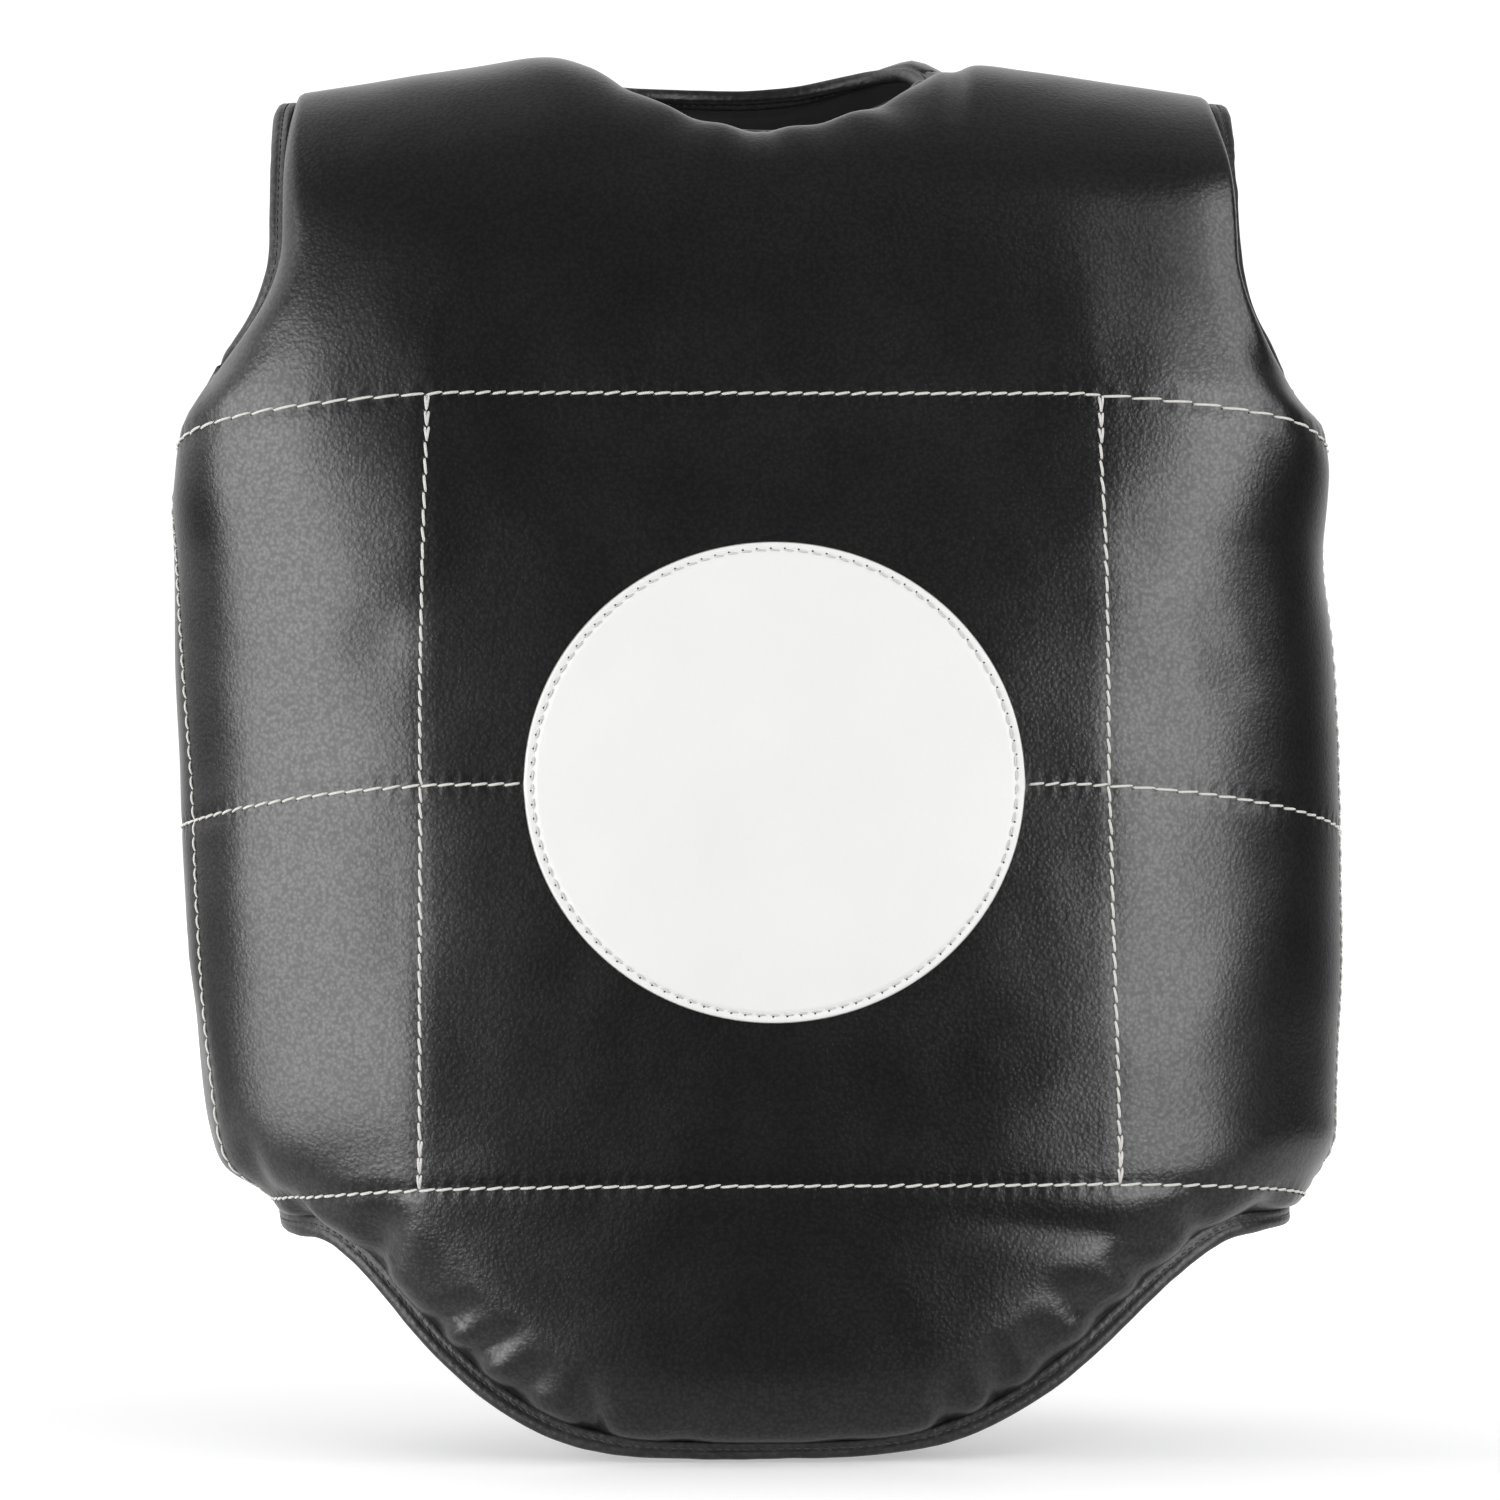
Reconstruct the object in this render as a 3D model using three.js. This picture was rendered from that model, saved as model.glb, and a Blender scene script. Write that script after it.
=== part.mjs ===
// Padded body protector for striking sports, pulled on over the head like a sleeveless vest.
// Millimetres. +Z is up, the front faces -Y and +X is on the viewer's right.
// The origin lies midway between the undersides of the two shoulder straps, on the shoulder line.

import * as THREE from "three";

const { clamp, degToRad, lerp, smoothstep } = THREE.MathUtils;

// The body side of the vest as level sections, from below the apron up to the chest.
const TORSO = [
  { height: -590, left: 192, right: 206, front: 80, back: 84, square: 2.4 },
  { height: -462, left: 198, right: 217, front: 84, back: 86, square: 2.5 },
  { height: -410, left: 214, right: 215, front: 86, back: 87, square: 2.55 },
  { height: -350, left: 218, right: 217, front: 88, back: 88, square: 2.6 },
  { height: -240, left: 222, right: 214, front: 88, back: 88, square: 2.8 },
  { height: -180, left: 221, right: 207, front: 86, back: 86, square: 3.6 },
  { height: -130, left: 223, right: 212, front: 83, back: 84, square: 4.8 },
];
const CHEST = TORSO[TORSO.length - 1].height;
const FRONT_ARCH = 2.5;
const BACK_ARCH = 4;
const RIDGE = 12;
const SHOULDER_DROP = 10;
const BACK_NECK_RISE = 17;
const BACK_NECK_TILT = 25;
const TILT_SPAN = { start: -10, full: 65, gone: 90 };

// Openings: where the panels end and the folded tape begins.
const NECK_HALF = 72;
const NECK_SHAPE = 2.3;
const NECK_CORNER_X = 61;
const ARMHOLE_LEFT = { x: 195, corner: -108, bottom: -128 };
const ARMHOLE_RIGHT = { x: 186, corner: -116, bottom: -131 };
const ARMHOLE_FLARE = 54;
const FLARE_SHAPE = 1.9;
const FLANK_SHAPE = 2.6;
const SHOULDER_SEAM = degToRad(108);
const SEAM_LEFT = degToRad(82);
const SEAM_RIGHT = degToRad(94);

// The hem falls from the side seams to the apron's point.
const HEM_SIDE = -456;
const APRON_DROP = 89;
const APRON_LEFT = { half: 188, shape: 2.1 };
const APRON_RIGHT = { half: 200, shape: 1.75 };
const BACK_HEM_DROP = 14;

// Rows of quilting: height in the middle, how far each sinks toward the side seams, and where the uprights cross it.
const QUILTING = [
  { name: "waist", height: -439, sinkLeft: 9, sinkRight: 10, uprightLeft: 134, uprightRight: 134.6 },
  { name: "middle", height: -278.5, sinkLeft: 18, sinkRight: 24, uprightLeft: 134.6, uprightRight: 130.2 },
  { name: "chest", height: -122, sinkLeft: 22, sinkRight: 27, uprightLeft: 136.5, uprightRight: 130.5 },
];
const SINK_FROM = 0.45;

// Thickness of the wall.
const PAD = 27;
const STRAP_LEFT = { inner: 16.5, outer: 8.5 };
const STRAP_RIGHT = { inner: 13.5, outer: 6 };
const STRAP_TAPER = { from: 85, to: 190 };
const ARMHOLE_PAD = { under: 12, yoke: 23, from: -125, to: -90 };
const ARMHOLE_REACH = 28;
const STRAP_THINS = [-55, 8];
const BACK_PAD = 10;
const EDGE = 4;
const SIDE_SEAM_PAD = 17;
const SHOULDER_SEAM_PAD = 10;
const SEAM_REACH = 34;
const GROOVE = 3.2;
const GROOVE_WIDTH = 6;
const PANEL_GAP = 1;

// How far in from each bound edge the padding takes to reach its full thickness.
const ROLLS = { neck: 20, armhole: 12, hem: 36 };

// Pleats where the skin is gathered into the hem tape: place across, width, depth and length up the apron.
const PLEATS = [
  { x: -182, width: 9, depth: 7, length: 34 },
  { x: -137, width: 8, depth: 8, length: 38 },
  { x: -116, width: 8, depth: 8, length: 36 },
  { x: -72, width: 9, depth: 8, length: 32 },
  { x: 84, width: 9, depth: 8, length: 30 },
  { x: 116, width: 8, depth: 8, length: 34 },
  { x: 140, width: 9, depth: 9, length: 40 },
  { x: 164, width: 8, depth: 7, length: 34 },
];

// Folded tape, seen in section: out from the edge, and through the wall.
const TAPE_OUT = 8;
const TAPE_SKIN = 1.2;
const TAPE_ROUND = 2;
const TAPE_GAP = 0.9;

const PATCH = { x: 1.5, height: -278, width: 201, tall: 193, thick: 1.5, gap: 0.5 };

// Places across a panel: 0 in the middle, 0.5 on the upright quilting, 1 on the side seam.
const AT_UPRIGHT = 0.5;
const AT_ARMHOLE = 0.75;
const AT_NECK = 0.27;

// Places up a panel: whole numbers fall on the hem, the quilting rows, the armhole, the neck and the seam.
const ROW_ARMHOLE = 4;
const ROW_NECK = 5;
const ROW_SEAM = 6;

const FRONT = { side: -1, depth: "front", arch: FRONT_ARCH, reach: 58, endRow: ROW_SEAM };
const BACK = { side: 1, depth: "back", arch: BACK_ARCH, reach: 62, endRow: ROW_NECK };

function otherFace(face) {
  return face === FRONT ? BACK : FRONT;
}

// Reads one column of a table at a place between its rows, as a cubic through the rows.
function readTable(rows, place, column, at) {
  const last = rows.length - 1;
  let i = 0;
  while (i < last - 1 && rows[i + 1][place] < at) i += 1;
  const slope = (j) => {
    const low = rows[Math.max(j - 1, 0)];
    const high = rows[Math.min(j + 1, last)];
    return (high[column] - low[column]) / (high[place] - low[place]);
  };
  const step = rows[i + 1][place] - rows[i][place];
  const t = clamp((at - rows[i][place]) / step, 0, 1);
  const s = 1 - t;
  const ends = rows[i][column] * s * s * (1 + 2 * t) + rows[i + 1][column] * t * t * (1 + 2 * s);
  return ends + step * t * s * (s * slope(i) - t * slope(i + 1));
}

function sectionAt(height) {
  const section = {};
  for (const column of ["left", "right", "front", "back", "square"]) {
    section[column] = readTable(TORSO, "height", column, Math.min(height, CHEST));
  }
  return section;
}

function armhole(right) {
  return right < 0 ? ARMHOLE_LEFT : ARMHOLE_RIGHT;
}

function ridgeHeight(x) {
  return RIDGE - SHOULDER_DROP * Math.max(0, Math.abs(x) - NECK_HALF) / (ARMHOLE_LEFT.x - NECK_HALF);
}

// A superellipse of unit size: how far across and how far ahead a direction lies on it.
function unitCurve(angle, power) {
  const across = Math.sin(angle);
  const ahead = Math.cos(angle);
  const size = (Math.abs(across) ** power + Math.abs(ahead) ** power) ** (-1 / power);
  return [across * size, ahead * size];
}

function unitAngle(across, power) {
  const share = clamp(across, 0, 0.99999) ** power;
  return Math.atan((share / (1 - share)) ** (1 / power));
}

// The angle round the body at which a section is x wide, from the middle of the front.
function aroundFor(section, x) {
  return unitAngle(Math.abs(x) / (x < 0 ? section.left : section.right), section.square);
}

// The back of the neck stands above the shoulder line, and higher on the viewer's right.
function collarRise(x) {
  const { start, full, gone } = TILT_SPAN;
  const tilt = clamp((x - start) / (full - start), 0, 1) ** 2 * (1 - smoothstep(x, full, gone));
  return BACK_NECK_RISE * Math.max(0, 1 - (x / NECK_HALF) ** 2) + BACK_NECK_TILT * tilt;
}

// A point of the body side, from the angle round it, the height, and the angle over the shoulder.
function bodyPoint({ face, right, around, height, turn }) {
  const section = sectionAt(height);
  const [across, ahead] = unitCurve(around, section.square);
  const near = Math.cos(around) * Math.cos(turn) < 0 ? otherFace(face) : face;
  const [rise, over] = unitCurve(turn, near.arch);
  const x = right * across * (right < 0 ? section.left : section.right);
  const y = face.side * ahead * over * section[near.depth];
  if (turn <= 0) return new THREE.Vector3(x, y, height);
  const collar = near === BACK ? collarRise(x) * Math.abs(over) : 0;
  return new THREE.Vector3(x, y, CHEST + (ridgeHeight(x) - CHEST) * rise + collar);
}

// The outward direction of the body side, from four points close round a spot.
function bodyNormal(spot) {
  const step = 0.01;
  const across = bodyPoint({ ...spot, around: spot.around + step });
  across.sub(bodyPoint({ ...spot, around: spot.around - step }));
  const moved = (by) => {
    if (spot.turn > 0) return bodyPoint({ ...spot, turn: Math.max(0, spot.turn + step * by) });
    return bodyPoint({ ...spot, height: spot.height + by });
  };
  const upward = moved(1).sub(moved(-1));
  return across.cross(upward).multiplyScalar(-spot.face.side * spot.right).normalize();
}

function turnFor(face, height, x) {
  return unitAngle((height - CHEST) / (ridgeHeight(x) - CHEST), face.arch);
}

function seamAngle(face, right) {
  const front = right < 0 ? SEAM_LEFT : SEAM_RIGHT;
  return face === FRONT ? front : Math.PI - front;
}

// The angle round the body for a place across a panel at one height.
function aroundAt(face, k, height) {
  const section = sectionAt(height);
  const level = clamp(height, QUILTING[0].height, QUILTING[2].height);
  const uprightX = readTable(QUILTING, "height", k < 0 ? "uprightLeft" : "uprightRight", level);
  const place = Math.abs(k);
  if (place <= AT_UPRIGHT) return aroundFor(section, Math.sign(k) * uprightX * place / AT_UPRIGHT);
  const start = aroundFor(section, Math.sign(k) * uprightX);
  return lerp(start, seamAngle(face, k), (place - AT_UPRIGHT) / (1 - AT_UPRIGHT));
}

function hemHeight(face, k) {
  const right = k < 0 ? -1 : 1;
  const level = { face, right, around: aroundAt(face, k, HEM_SIDE), height: HEM_SIDE, turn: 0 };
  const apron = right < 0 ? APRON_LEFT : APRON_RIGHT;
  const across = Math.min(1, Math.abs(bodyPoint(level).x) / apron.half);
  const fall = smoothstep(1 - across ** apron.shape, 0, 1);
  return HEM_SIDE - fall * (face === FRONT ? APRON_DROP : BACK_HEM_DROP);
}

function armholeHeight(k) {
  const along = clamp((Math.abs(k) - AT_ARMHOLE) / (1 - AT_ARMHOLE), 0, 1);
  const { corner, bottom } = armhole(k);
  return bottom + (corner - bottom) * (1 - along) ** FLANK_SHAPE;
}

function lineHeight(face, k, row) {
  if (row === 0) return hemHeight(face, k);
  if (row === ROW_ARMHOLE) return armholeHeight(k);
  const line = QUILTING[row - 1];
  const sink = k < 0 ? line.sinkLeft : line.sinkRight;
  return line.height - sink * smoothstep(Math.abs(k), SINK_FROM, 1);
}

// The neck hole in plan is a superellipse, with its own reach to the front and to the back.
function neckTurn(face, x) {
  const y = face.reach * Math.max(0, 1 - (Math.abs(x) / NECK_HALF) ** NECK_SHAPE) ** (1 / NECK_SHAPE);
  return Math.PI / 2 - unitAngle(y / sectionAt(CHEST)[face.depth], face.arch);
}

function neckX(face, turn) {
  const near = turn > Math.PI / 2 ? otherFace(face) : face;
  const y = Math.abs(unitCurve(turn, near.arch)[1]) * sectionAt(CHEST)[near.depth];
  return NECK_HALF * Math.max(0, 1 - (y / near.reach) ** NECK_SHAPE) ** (1 / NECK_SHAPE);
}

function neckCornerX(face) {
  return face === FRONT ? NECK_CORNER_X : neckX(FRONT, SHOULDER_SEAM);
}

function strapTurn(face) {
  return face === FRONT ? neckTurn(face, NECK_CORNER_X) : Math.PI - SHOULDER_SEAM;
}

function shoulderSpot(face, right, x, turn) {
  return { face, right, around: aroundFor(sectionAt(CHEST), right * x), height: CHEST, turn };
}

// A spot of the body side from its place across and up a panel.
function panelSpot(face, k, r) {
  const right = k < 0 ? -1 : 1;
  const place = Math.abs(k);
  if (r <= ROW_ARMHOLE) {
    const row = Math.min(Math.floor(r), ROW_ARMHOLE - 1);
    const height = lerp(lineHeight(face, k, row), lineHeight(face, k, row + 1), r - row);
    const level = { face, right, around: aroundAt(face, k, height), height, turn: 0 };
    return height > CHEST ? { ...level, turn: turnFor(face, height, bodyPoint(level).x) } : level;
  }
  const strap = clamp((place - AT_NECK) / (AT_ARMHOLE - AT_NECK), 0, 1);
  if (r > ROW_NECK) {
    const turn = lerp(strapTurn(face), SHOULDER_SEAM, r - ROW_NECK);
    return shoulderSpot(face, right, lerp(neckX(face, turn), armhole(right).x, strap), turn);
  }
  const up = r - ROW_ARMHOLE;
  const below = panelSpot(face, k, ROW_ARMHOLE);
  const corner = Math.abs(panelPoint(face, right * AT_ARMHOLE, ROW_ARMHOLE).x);
  const neck = neckCornerX(face);
  const edge = armhole(right).x;
  const above = place <= AT_NECK ? neck * place / AT_NECK : lerp(neck, edge, strap);
  const endTurn = place <= AT_NECK ? neckTurn(face, above) : strapTurn(face);
  const turn = lerp(below.turn, endTurn, up);
  const climbed = CHEST + (RIDGE - CHEST) * unitCurve(turn, face.arch)[0] - armhole(right).corner;
  const flare = (corner - edge) * clamp(1 - climbed / ARMHOLE_FLARE, 0, 1) ** FLARE_SHAPE;
  const edgeShift = edge + flare - lerp(corner, edge, up);
  const x = lerp(Math.abs(bodyPoint(below).x), above, up) + edgeShift * strap ** 2;
  return shoulderSpot(face, right, x, turn);
}

function panelPoint(face, k, r) {
  return bodyPoint(panelSpot(face, k, r));
}

function spread(from, to, count) {
  return Array.from({ length: count }, (_, i) => lerp(from, to, i / count));
}

// Columns of one half, closer together beside the upright quilting.
const HALF = [
  ...spread(0, AT_NECK, 5),
  ...spread(AT_NECK, AT_UPRIGHT - 0.025, 4),
  AT_UPRIGHT - 0.025,
  AT_UPRIGHT,
  AT_UPRIGHT + 0.02,
  ...spread(AT_UPRIGHT + 0.05, AT_ARMHOLE, 6),
  ...spread(AT_ARMHOLE, 1, 5),
  1,
];
const FRONT_ROWS = [
  ...[0, 0.03, 0.1, 0.2, 0.35, 0.5, 0.7, 0.93],
  ...[1, 1.05, 1.3, 1.6, 1.95],
  ...[2, 2.05, 2.35, 2.7, 2.95],
  ...[3, 3.25, 3.55, 3.85],
  ...[4, 4.08, 4.17, 4.28, 4.42, 4.57, 4.72, 4.86, 4.96],
  ...[5, 5.25, 5.5, 5.75, 6],
];
const BACK_HALF = [
  ...spread(0, AT_NECK, 3),
  ...spread(AT_NECK, AT_ARMHOLE, 6),
  ...spread(AT_ARMHOLE, 1, 4),
  1,
];
const BACK_ROWS = [0, 0.06, 0.5, 1, 1.7, 2.4, 3, 3.5, 4, 4.08, 4.17, 4.28, 4.42, 4.58, 4.74, 4.88, 5];

function mirrored(half) {
  return [...half.slice(1).reverse().map((k) => -k), ...half];
}

// Sample points along the edges and the stitching, used to measure how far in a spot lies.
function trace(face, from, to, count) {
  return Array.from({ length: count + 1 }, (_, i) => {
    return panelPoint(face, lerp(from[0], to[0], i / count), lerp(from[1], to[1], i / count));
  });
}

function traceEdges(face) {
  const neck = trace(face, [-AT_NECK, ROW_NECK], [AT_NECK, ROW_NECK], 40);
  const armhole = [];
  const seam = [];
  const shoulder = [];
  for (const right of [-1, 1]) {
    if (face.endRow > ROW_NECK) {
      neck.push(...trace(face, [right * AT_NECK, ROW_NECK], [right * AT_NECK, face.endRow], 20));
    }
    armhole.push(...trace(face, [right * AT_ARMHOLE, ROW_ARMHOLE], [right * AT_ARMHOLE, face.endRow], 60));
    armhole.push(...trace(face, [right * AT_ARMHOLE, ROW_ARMHOLE], [right, ROW_ARMHOLE], 20));
    seam.push(...trace(face, [right, 0], [right, ROW_ARMHOLE], 80));
    shoulder.push(...trace(face, [right * AT_NECK, face.endRow], [right * AT_ARMHOLE, face.endRow], 30));
  }
  return { neck, armhole, hem: trace(face, [-1, 0], [1, 0], 160), seam, shoulder };
}

function traceQuilting() {
  const lines = [];
  for (const row of [1, 2, 3]) lines.push(...trace(FRONT, [-1, row], [1, row], 160));
  for (const k of [-AT_UPRIGHT, AT_UPRIGHT]) lines.push(...trace(FRONT, [k, 1], [k, 3], 90));
  return lines.filter((point) => Math.hypot(point.x - PATCH.x, point.z - PATCH.height) > PATCH.width / 2);
}

function distance(points, spot) {
  return Math.sqrt(points.reduce((least, point) => Math.min(least, point.distanceToSquared(spot)), Infinity));
}

function rounded(share) {
  return Math.sqrt(1 - (1 - clamp(share, 0, 1)) ** 2);
}

const FRONT_EDGES = traceEdges(FRONT);
const BACK_EDGES = traceEdges(BACK);
const QUILTED = traceQuilting();

function pleatDepth(spot, fromHem) {
  let depth = 0;
  for (const pleat of PLEATS) {
    const beside = Math.exp(-(((spot.x - pleat.x) / pleat.width) ** 2));
    depth += pleat.depth * beside * (1 - smoothstep(fromHem, 0, pleat.length));
  }
  return depth;
}

function frontThickness(spot) {
  const fromHem = distance(FRONT_EDGES.hem, spot);
  const fromArmhole = distance(FRONT_EDGES.armhole, spot);
  const fullness = Math.min(
    rounded(distance(FRONT_EDGES.neck, spot) / ROLLS.neck),
    rounded(fromArmhole / ROLLS.armhole),
    rounded(fromHem / ROLLS.hem),
  );
  const armEdge = lerp(ARMHOLE_PAD.under, ARMHOLE_PAD.yoke, smoothstep(spot.z, ARMHOLE_PAD.from, ARMHOLE_PAD.to));
  const armPad = lerp(armEdge, PAD, smoothstep(fromArmhole, 0, ARMHOLE_REACH));
  const seamPad = lerp(SIDE_SEAM_PAD, PAD, rounded(distance(FRONT_EDGES.seam, spot) / SEAM_REACH));
  const strap = spot.x < 0 ? STRAP_LEFT : STRAP_RIGHT;
  const outward = (Math.abs(spot.x) - STRAP_TAPER.from) / (STRAP_TAPER.to - STRAP_TAPER.from);
  const onStrap = lerp(strap.inner, strap.outer, clamp(outward, 0, 1));
  const overPad = lerp(PAD, onStrap, smoothstep(spot.z, ...STRAP_THINS));
  const fromShoulder = distance(FRONT_EDGES.shoulder, spot);
  const strapPad = lerp(SHOULDER_SEAM_PAD, overPad, rounded(fromShoulder / SEAM_REACH));
  const full = Math.min(seamPad, strapPad, armPad) - pleatDepth(spot, fromHem);
  const groove = GROOVE * Math.exp(-((distance(QUILTED, spot) / GROOVE_WIDTH) ** 2));
  return EDGE + Math.max(0, full - EDGE - groove) * fullness;
}

function backThickness(spot) {
  const fullness = Math.min(
    rounded(distance(BACK_EDGES.neck, spot) / ROLLS.neck),
    rounded(distance(BACK_EDGES.armhole, spot) / ROLLS.armhole),
    rounded(distance(BACK_EDGES.hem, spot) / ROLLS.armhole),
  );
  const fromSeam = smoothstep(distance(BACK_EDGES.seam, spot), 0, 2 * SEAM_REACH);
  return EDGE + (lerp(SIDE_SEAM_PAD, BACK_PAD, fromSeam) - EDGE) * fullness;
}

function geometryFrom(points, faces) {
  const geometry = new THREE.BufferGeometry();
  geometry.setAttribute("position", new THREE.Float32BufferAttribute(points.flatMap((p) => p.toArray()), 3));
  geometry.setIndex(faces.flat());
  geometry.computeVertexNormals();
  return geometry;
}

// Front and back stand a little apart along their seams.
function panelShift(face) {
  return new THREE.Vector3(0, face.side * PANEL_GAP / 2, 0);
}

// A closed wall over the cells of a grid that lie on the panel: skin, lining and the rim between them.
function paddedWall(face, columns, rows, thickness) {
  const points = [];
  const faces = [];
  const count = rows.length;
  const lining = columns.length * count;
  const shift = panelShift(face);
  const skinPoints = [];
  for (const k of columns) {
    for (const r of rows) {
      const place = panelSpot(face, k, Math.min(r, face.endRow));
      const spot = bodyPoint(place);
      const skin = spot.clone().addScaledVector(bodyNormal(place), thickness(spot));
      points.push(spot.add(shift));
      skinPoints.push(skin.add(shift));
    }
  }
  points.unshift(...skinPoints);
  const kept = (i, j) => {
    if (i < 0 || j < 0 || i > columns.length - 2 || j > rows.length - 2) return false;
    const place = Math.abs(columns[i] + columns[i + 1]) / 2;
    const row = (rows[j] + rows[j + 1]) / 2;
    const top = place > AT_ARMHOLE ? ROW_ARMHOLE : place < AT_NECK ? ROW_NECK : face.endRow;
    return row < top;
  };
  const quad = (a, b, c, d) => faces.push([a, b, c], [a, c, d]);
  const corner = (i, j) => i * count + j;
  for (let i = 0; i < columns.length - 1; i += 1) {
    for (let j = 0; j < rows.length - 1; j += 1) {
      if (!kept(i, j)) continue;
      const ring = [corner(i, j), corner(i + 1, j), corner(i + 1, j + 1), corner(i, j + 1)];
      quad(...ring);
      quad(...ring.map((c) => c + lining).reverse());
      const beside = [kept(i, j - 1), kept(i + 1, j), kept(i, j + 1), kept(i - 1, j)];
      beside.forEach((joined, side) => {
        const a = ring[side];
        const b = ring[(side + 1) % 4];
        if (!joined) quad(b, a, a + lining, b + lining);
      });
    }
  }
  return geometryFrom(points, faces);
}

// Edge loops, as places on the panels taken from the same columns and rows as the walls.
function within(list, low, high) {
  return list.filter((value) => value >= low - 1e-6 && value <= high + 1e-6);
}

function loopAlong(steps) {
  const loop = [];
  for (const [face, k, r] of steps) {
    const place = panelSpot(face, k, r);
    const spot = bodyPoint(place);
    const previous = loop[loop.length - 1];
    if (previous && previous.spot.distanceTo(spot) < 1) continue;
    loop.push({ spot, normal: bodyNormal(place) });
  }
  if (loop[0].spot.distanceTo(loop[loop.length - 1].spot) < 1) loop.pop();
  return loop;
}

function neckLoop() {
  const strapRows = within(FRONT_ROWS, ROW_NECK, ROW_SEAM);
  const across = within(mirrored(HALF), -AT_NECK, AT_NECK);
  const behind = within(mirrored(BACK_HALF), -AT_NECK, AT_NECK);
  return loopAlong([
    ...across.map((k) => [FRONT, k, ROW_NECK]),
    ...strapRows.map((r) => [FRONT, AT_NECK, r]),
    ...behind.reverse().map((k) => [BACK, k, ROW_NECK]),
    ...strapRows.reverse().map((r) => [FRONT, -AT_NECK, r]),
  ]);
}

function armholeLoop(right) {
  const loop = loopAlong([
    ...within(FRONT_ROWS, ROW_ARMHOLE, ROW_SEAM).reverse().map((r) => [FRONT, right * AT_ARMHOLE, r]),
    ...within(HALF, AT_ARMHOLE, 1).map((k) => [FRONT, right * k, ROW_ARMHOLE]),
    ...within(BACK_HALF, AT_ARMHOLE, 1).reverse().map((k) => [BACK, right * k, ROW_ARMHOLE]),
    ...within(BACK_ROWS, ROW_ARMHOLE, ROW_NECK).map((r) => [BACK, right * AT_ARMHOLE, r]),
  ]);
  return right > 0 ? loop : loop.reverse();
}

function hemLoop() {
  return loopAlong([
    ...mirrored(HALF).reverse().map((k) => [FRONT, k, 0]),
    ...mirrored(BACK_HALF).map((k) => [BACK, k, 0]),
  ]);
}

// Folded tape swept round a loop, standing out from the edge of the wall.
function tape(loop) {
  const low = -TAPE_SKIN;
  const high = EDGE + TAPE_SKIN;
  const section = [
    [TAPE_GAP, low],
    [TAPE_OUT - TAPE_ROUND, low],
    [TAPE_OUT, low + TAPE_ROUND],
    [TAPE_OUT, high - TAPE_ROUND],
    [TAPE_OUT - TAPE_ROUND, high],
    [TAPE_GAP, high],
  ];
  const points = [];
  const faces = [];
  const around = section.length;
  loop.forEach(({ spot, normal }, i) => {
    const ahead = loop[(i + 1) % loop.length].spot;
    const behind = loop[(i + loop.length - 1) % loop.length].spot;
    const outward = ahead.clone().sub(behind).cross(normal).normalize().negate();
    for (const [out, through] of section) {
      points.push(spot.clone().addScaledVector(outward, out).addScaledVector(normal, through));
    }
  });
  for (let i = 0; i < loop.length; i += 1) {
    const next = (i + 1) % loop.length;
    for (let j = 0; j < around; j += 1) {
      const k = (j + 1) % around;
      const ring = [i * around + j, i * around + k, next * around + k, next * around + j];
      faces.push([ring[0], ring[1], ring[2]], [ring[0], ring[2], ring[3]]);
    }
  }
  return geometryFrom(points, faces);
}

// The skin of the front at a place seen from ahead, found by stepping toward it.
function frontSkin(x, height) {
  const aim = new THREE.Vector2(x, height);
  let skin;
  let normal;
  for (let step = 0; step < 6; step += 1) {
    const right = aim.x < 0 ? -1 : 1;
    const around = aroundFor(sectionAt(aim.y), aim.x);
    const place = { face: FRONT, right, around, height: aim.y, turn: 0 };
    normal = bodyNormal(place);
    skin = bodyPoint(place).addScaledVector(normal, PAD).add(panelShift(FRONT));
    aim.x += x - skin.x;
    aim.y += height - skin.z;
  }
  return { skin, normal };
}

// The round patch, laid on the skin as rings of cells.
function patchGeometry() {
  const rings = [1, 0.8, 0.6, 0.4, 0.2];
  const sectors = 40;
  const points = [];
  const faces = [];
  const stack = [PATCH.gap + PATCH.thick, PATCH.gap];
  for (const lift of stack) {
    for (const ring of [...rings, 0]) {
      for (let s = 0; s < (ring > 0 ? sectors : 1); s += 1) {
        const angle = (2 * Math.PI * s) / sectors;
        const x = PATCH.x + 0.5 * PATCH.width * ring * Math.cos(angle);
        const height = PATCH.height + 0.5 * PATCH.tall * ring * Math.sin(angle);
        const { skin, normal } = frontSkin(x, height);
        points.push(skin.addScaledVector(normal, lift));
      }
    }
  }
  const under = points.length / 2;
  const middle = rings.length * sectors;
  for (let s = 0; s < sectors; s += 1) {
    const t = (s + 1) % sectors;
    for (let ring = 0; ring < rings.length; ring += 1) {
      const a = ring * sectors + s;
      const b = ring * sectors + t;
      const inner = ring + 1 < rings.length;
      const c = inner ? b + sectors : middle;
      faces.push([a, b, c], [b + under, a + under, c + under]);
      if (inner) faces.push([a, c, a + sectors], [c + under, a + under, a + sectors + under]);
    }
    faces.push([t, s, s + under], [t, s + under, t + under]);
  }
  return geometryFrom(points, faces);
}

const leather = new THREE.MeshStandardMaterial({ color: 0x1c1c1e, roughness: 0.45 });
const tapeLeather = new THREE.MeshStandardMaterial({ color: 0x17171a, roughness: 0.5 });
const whiteLeather = new THREE.MeshStandardMaterial({ color: 0xf2f2f0, roughness: 0.5 });

const group = new THREE.Group();
group.name = "body_protector";

function add(name, geometry, material) {
  const mesh = new THREE.Mesh(geometry, material);
  mesh.name = name;
  group.add(mesh);
}

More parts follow.
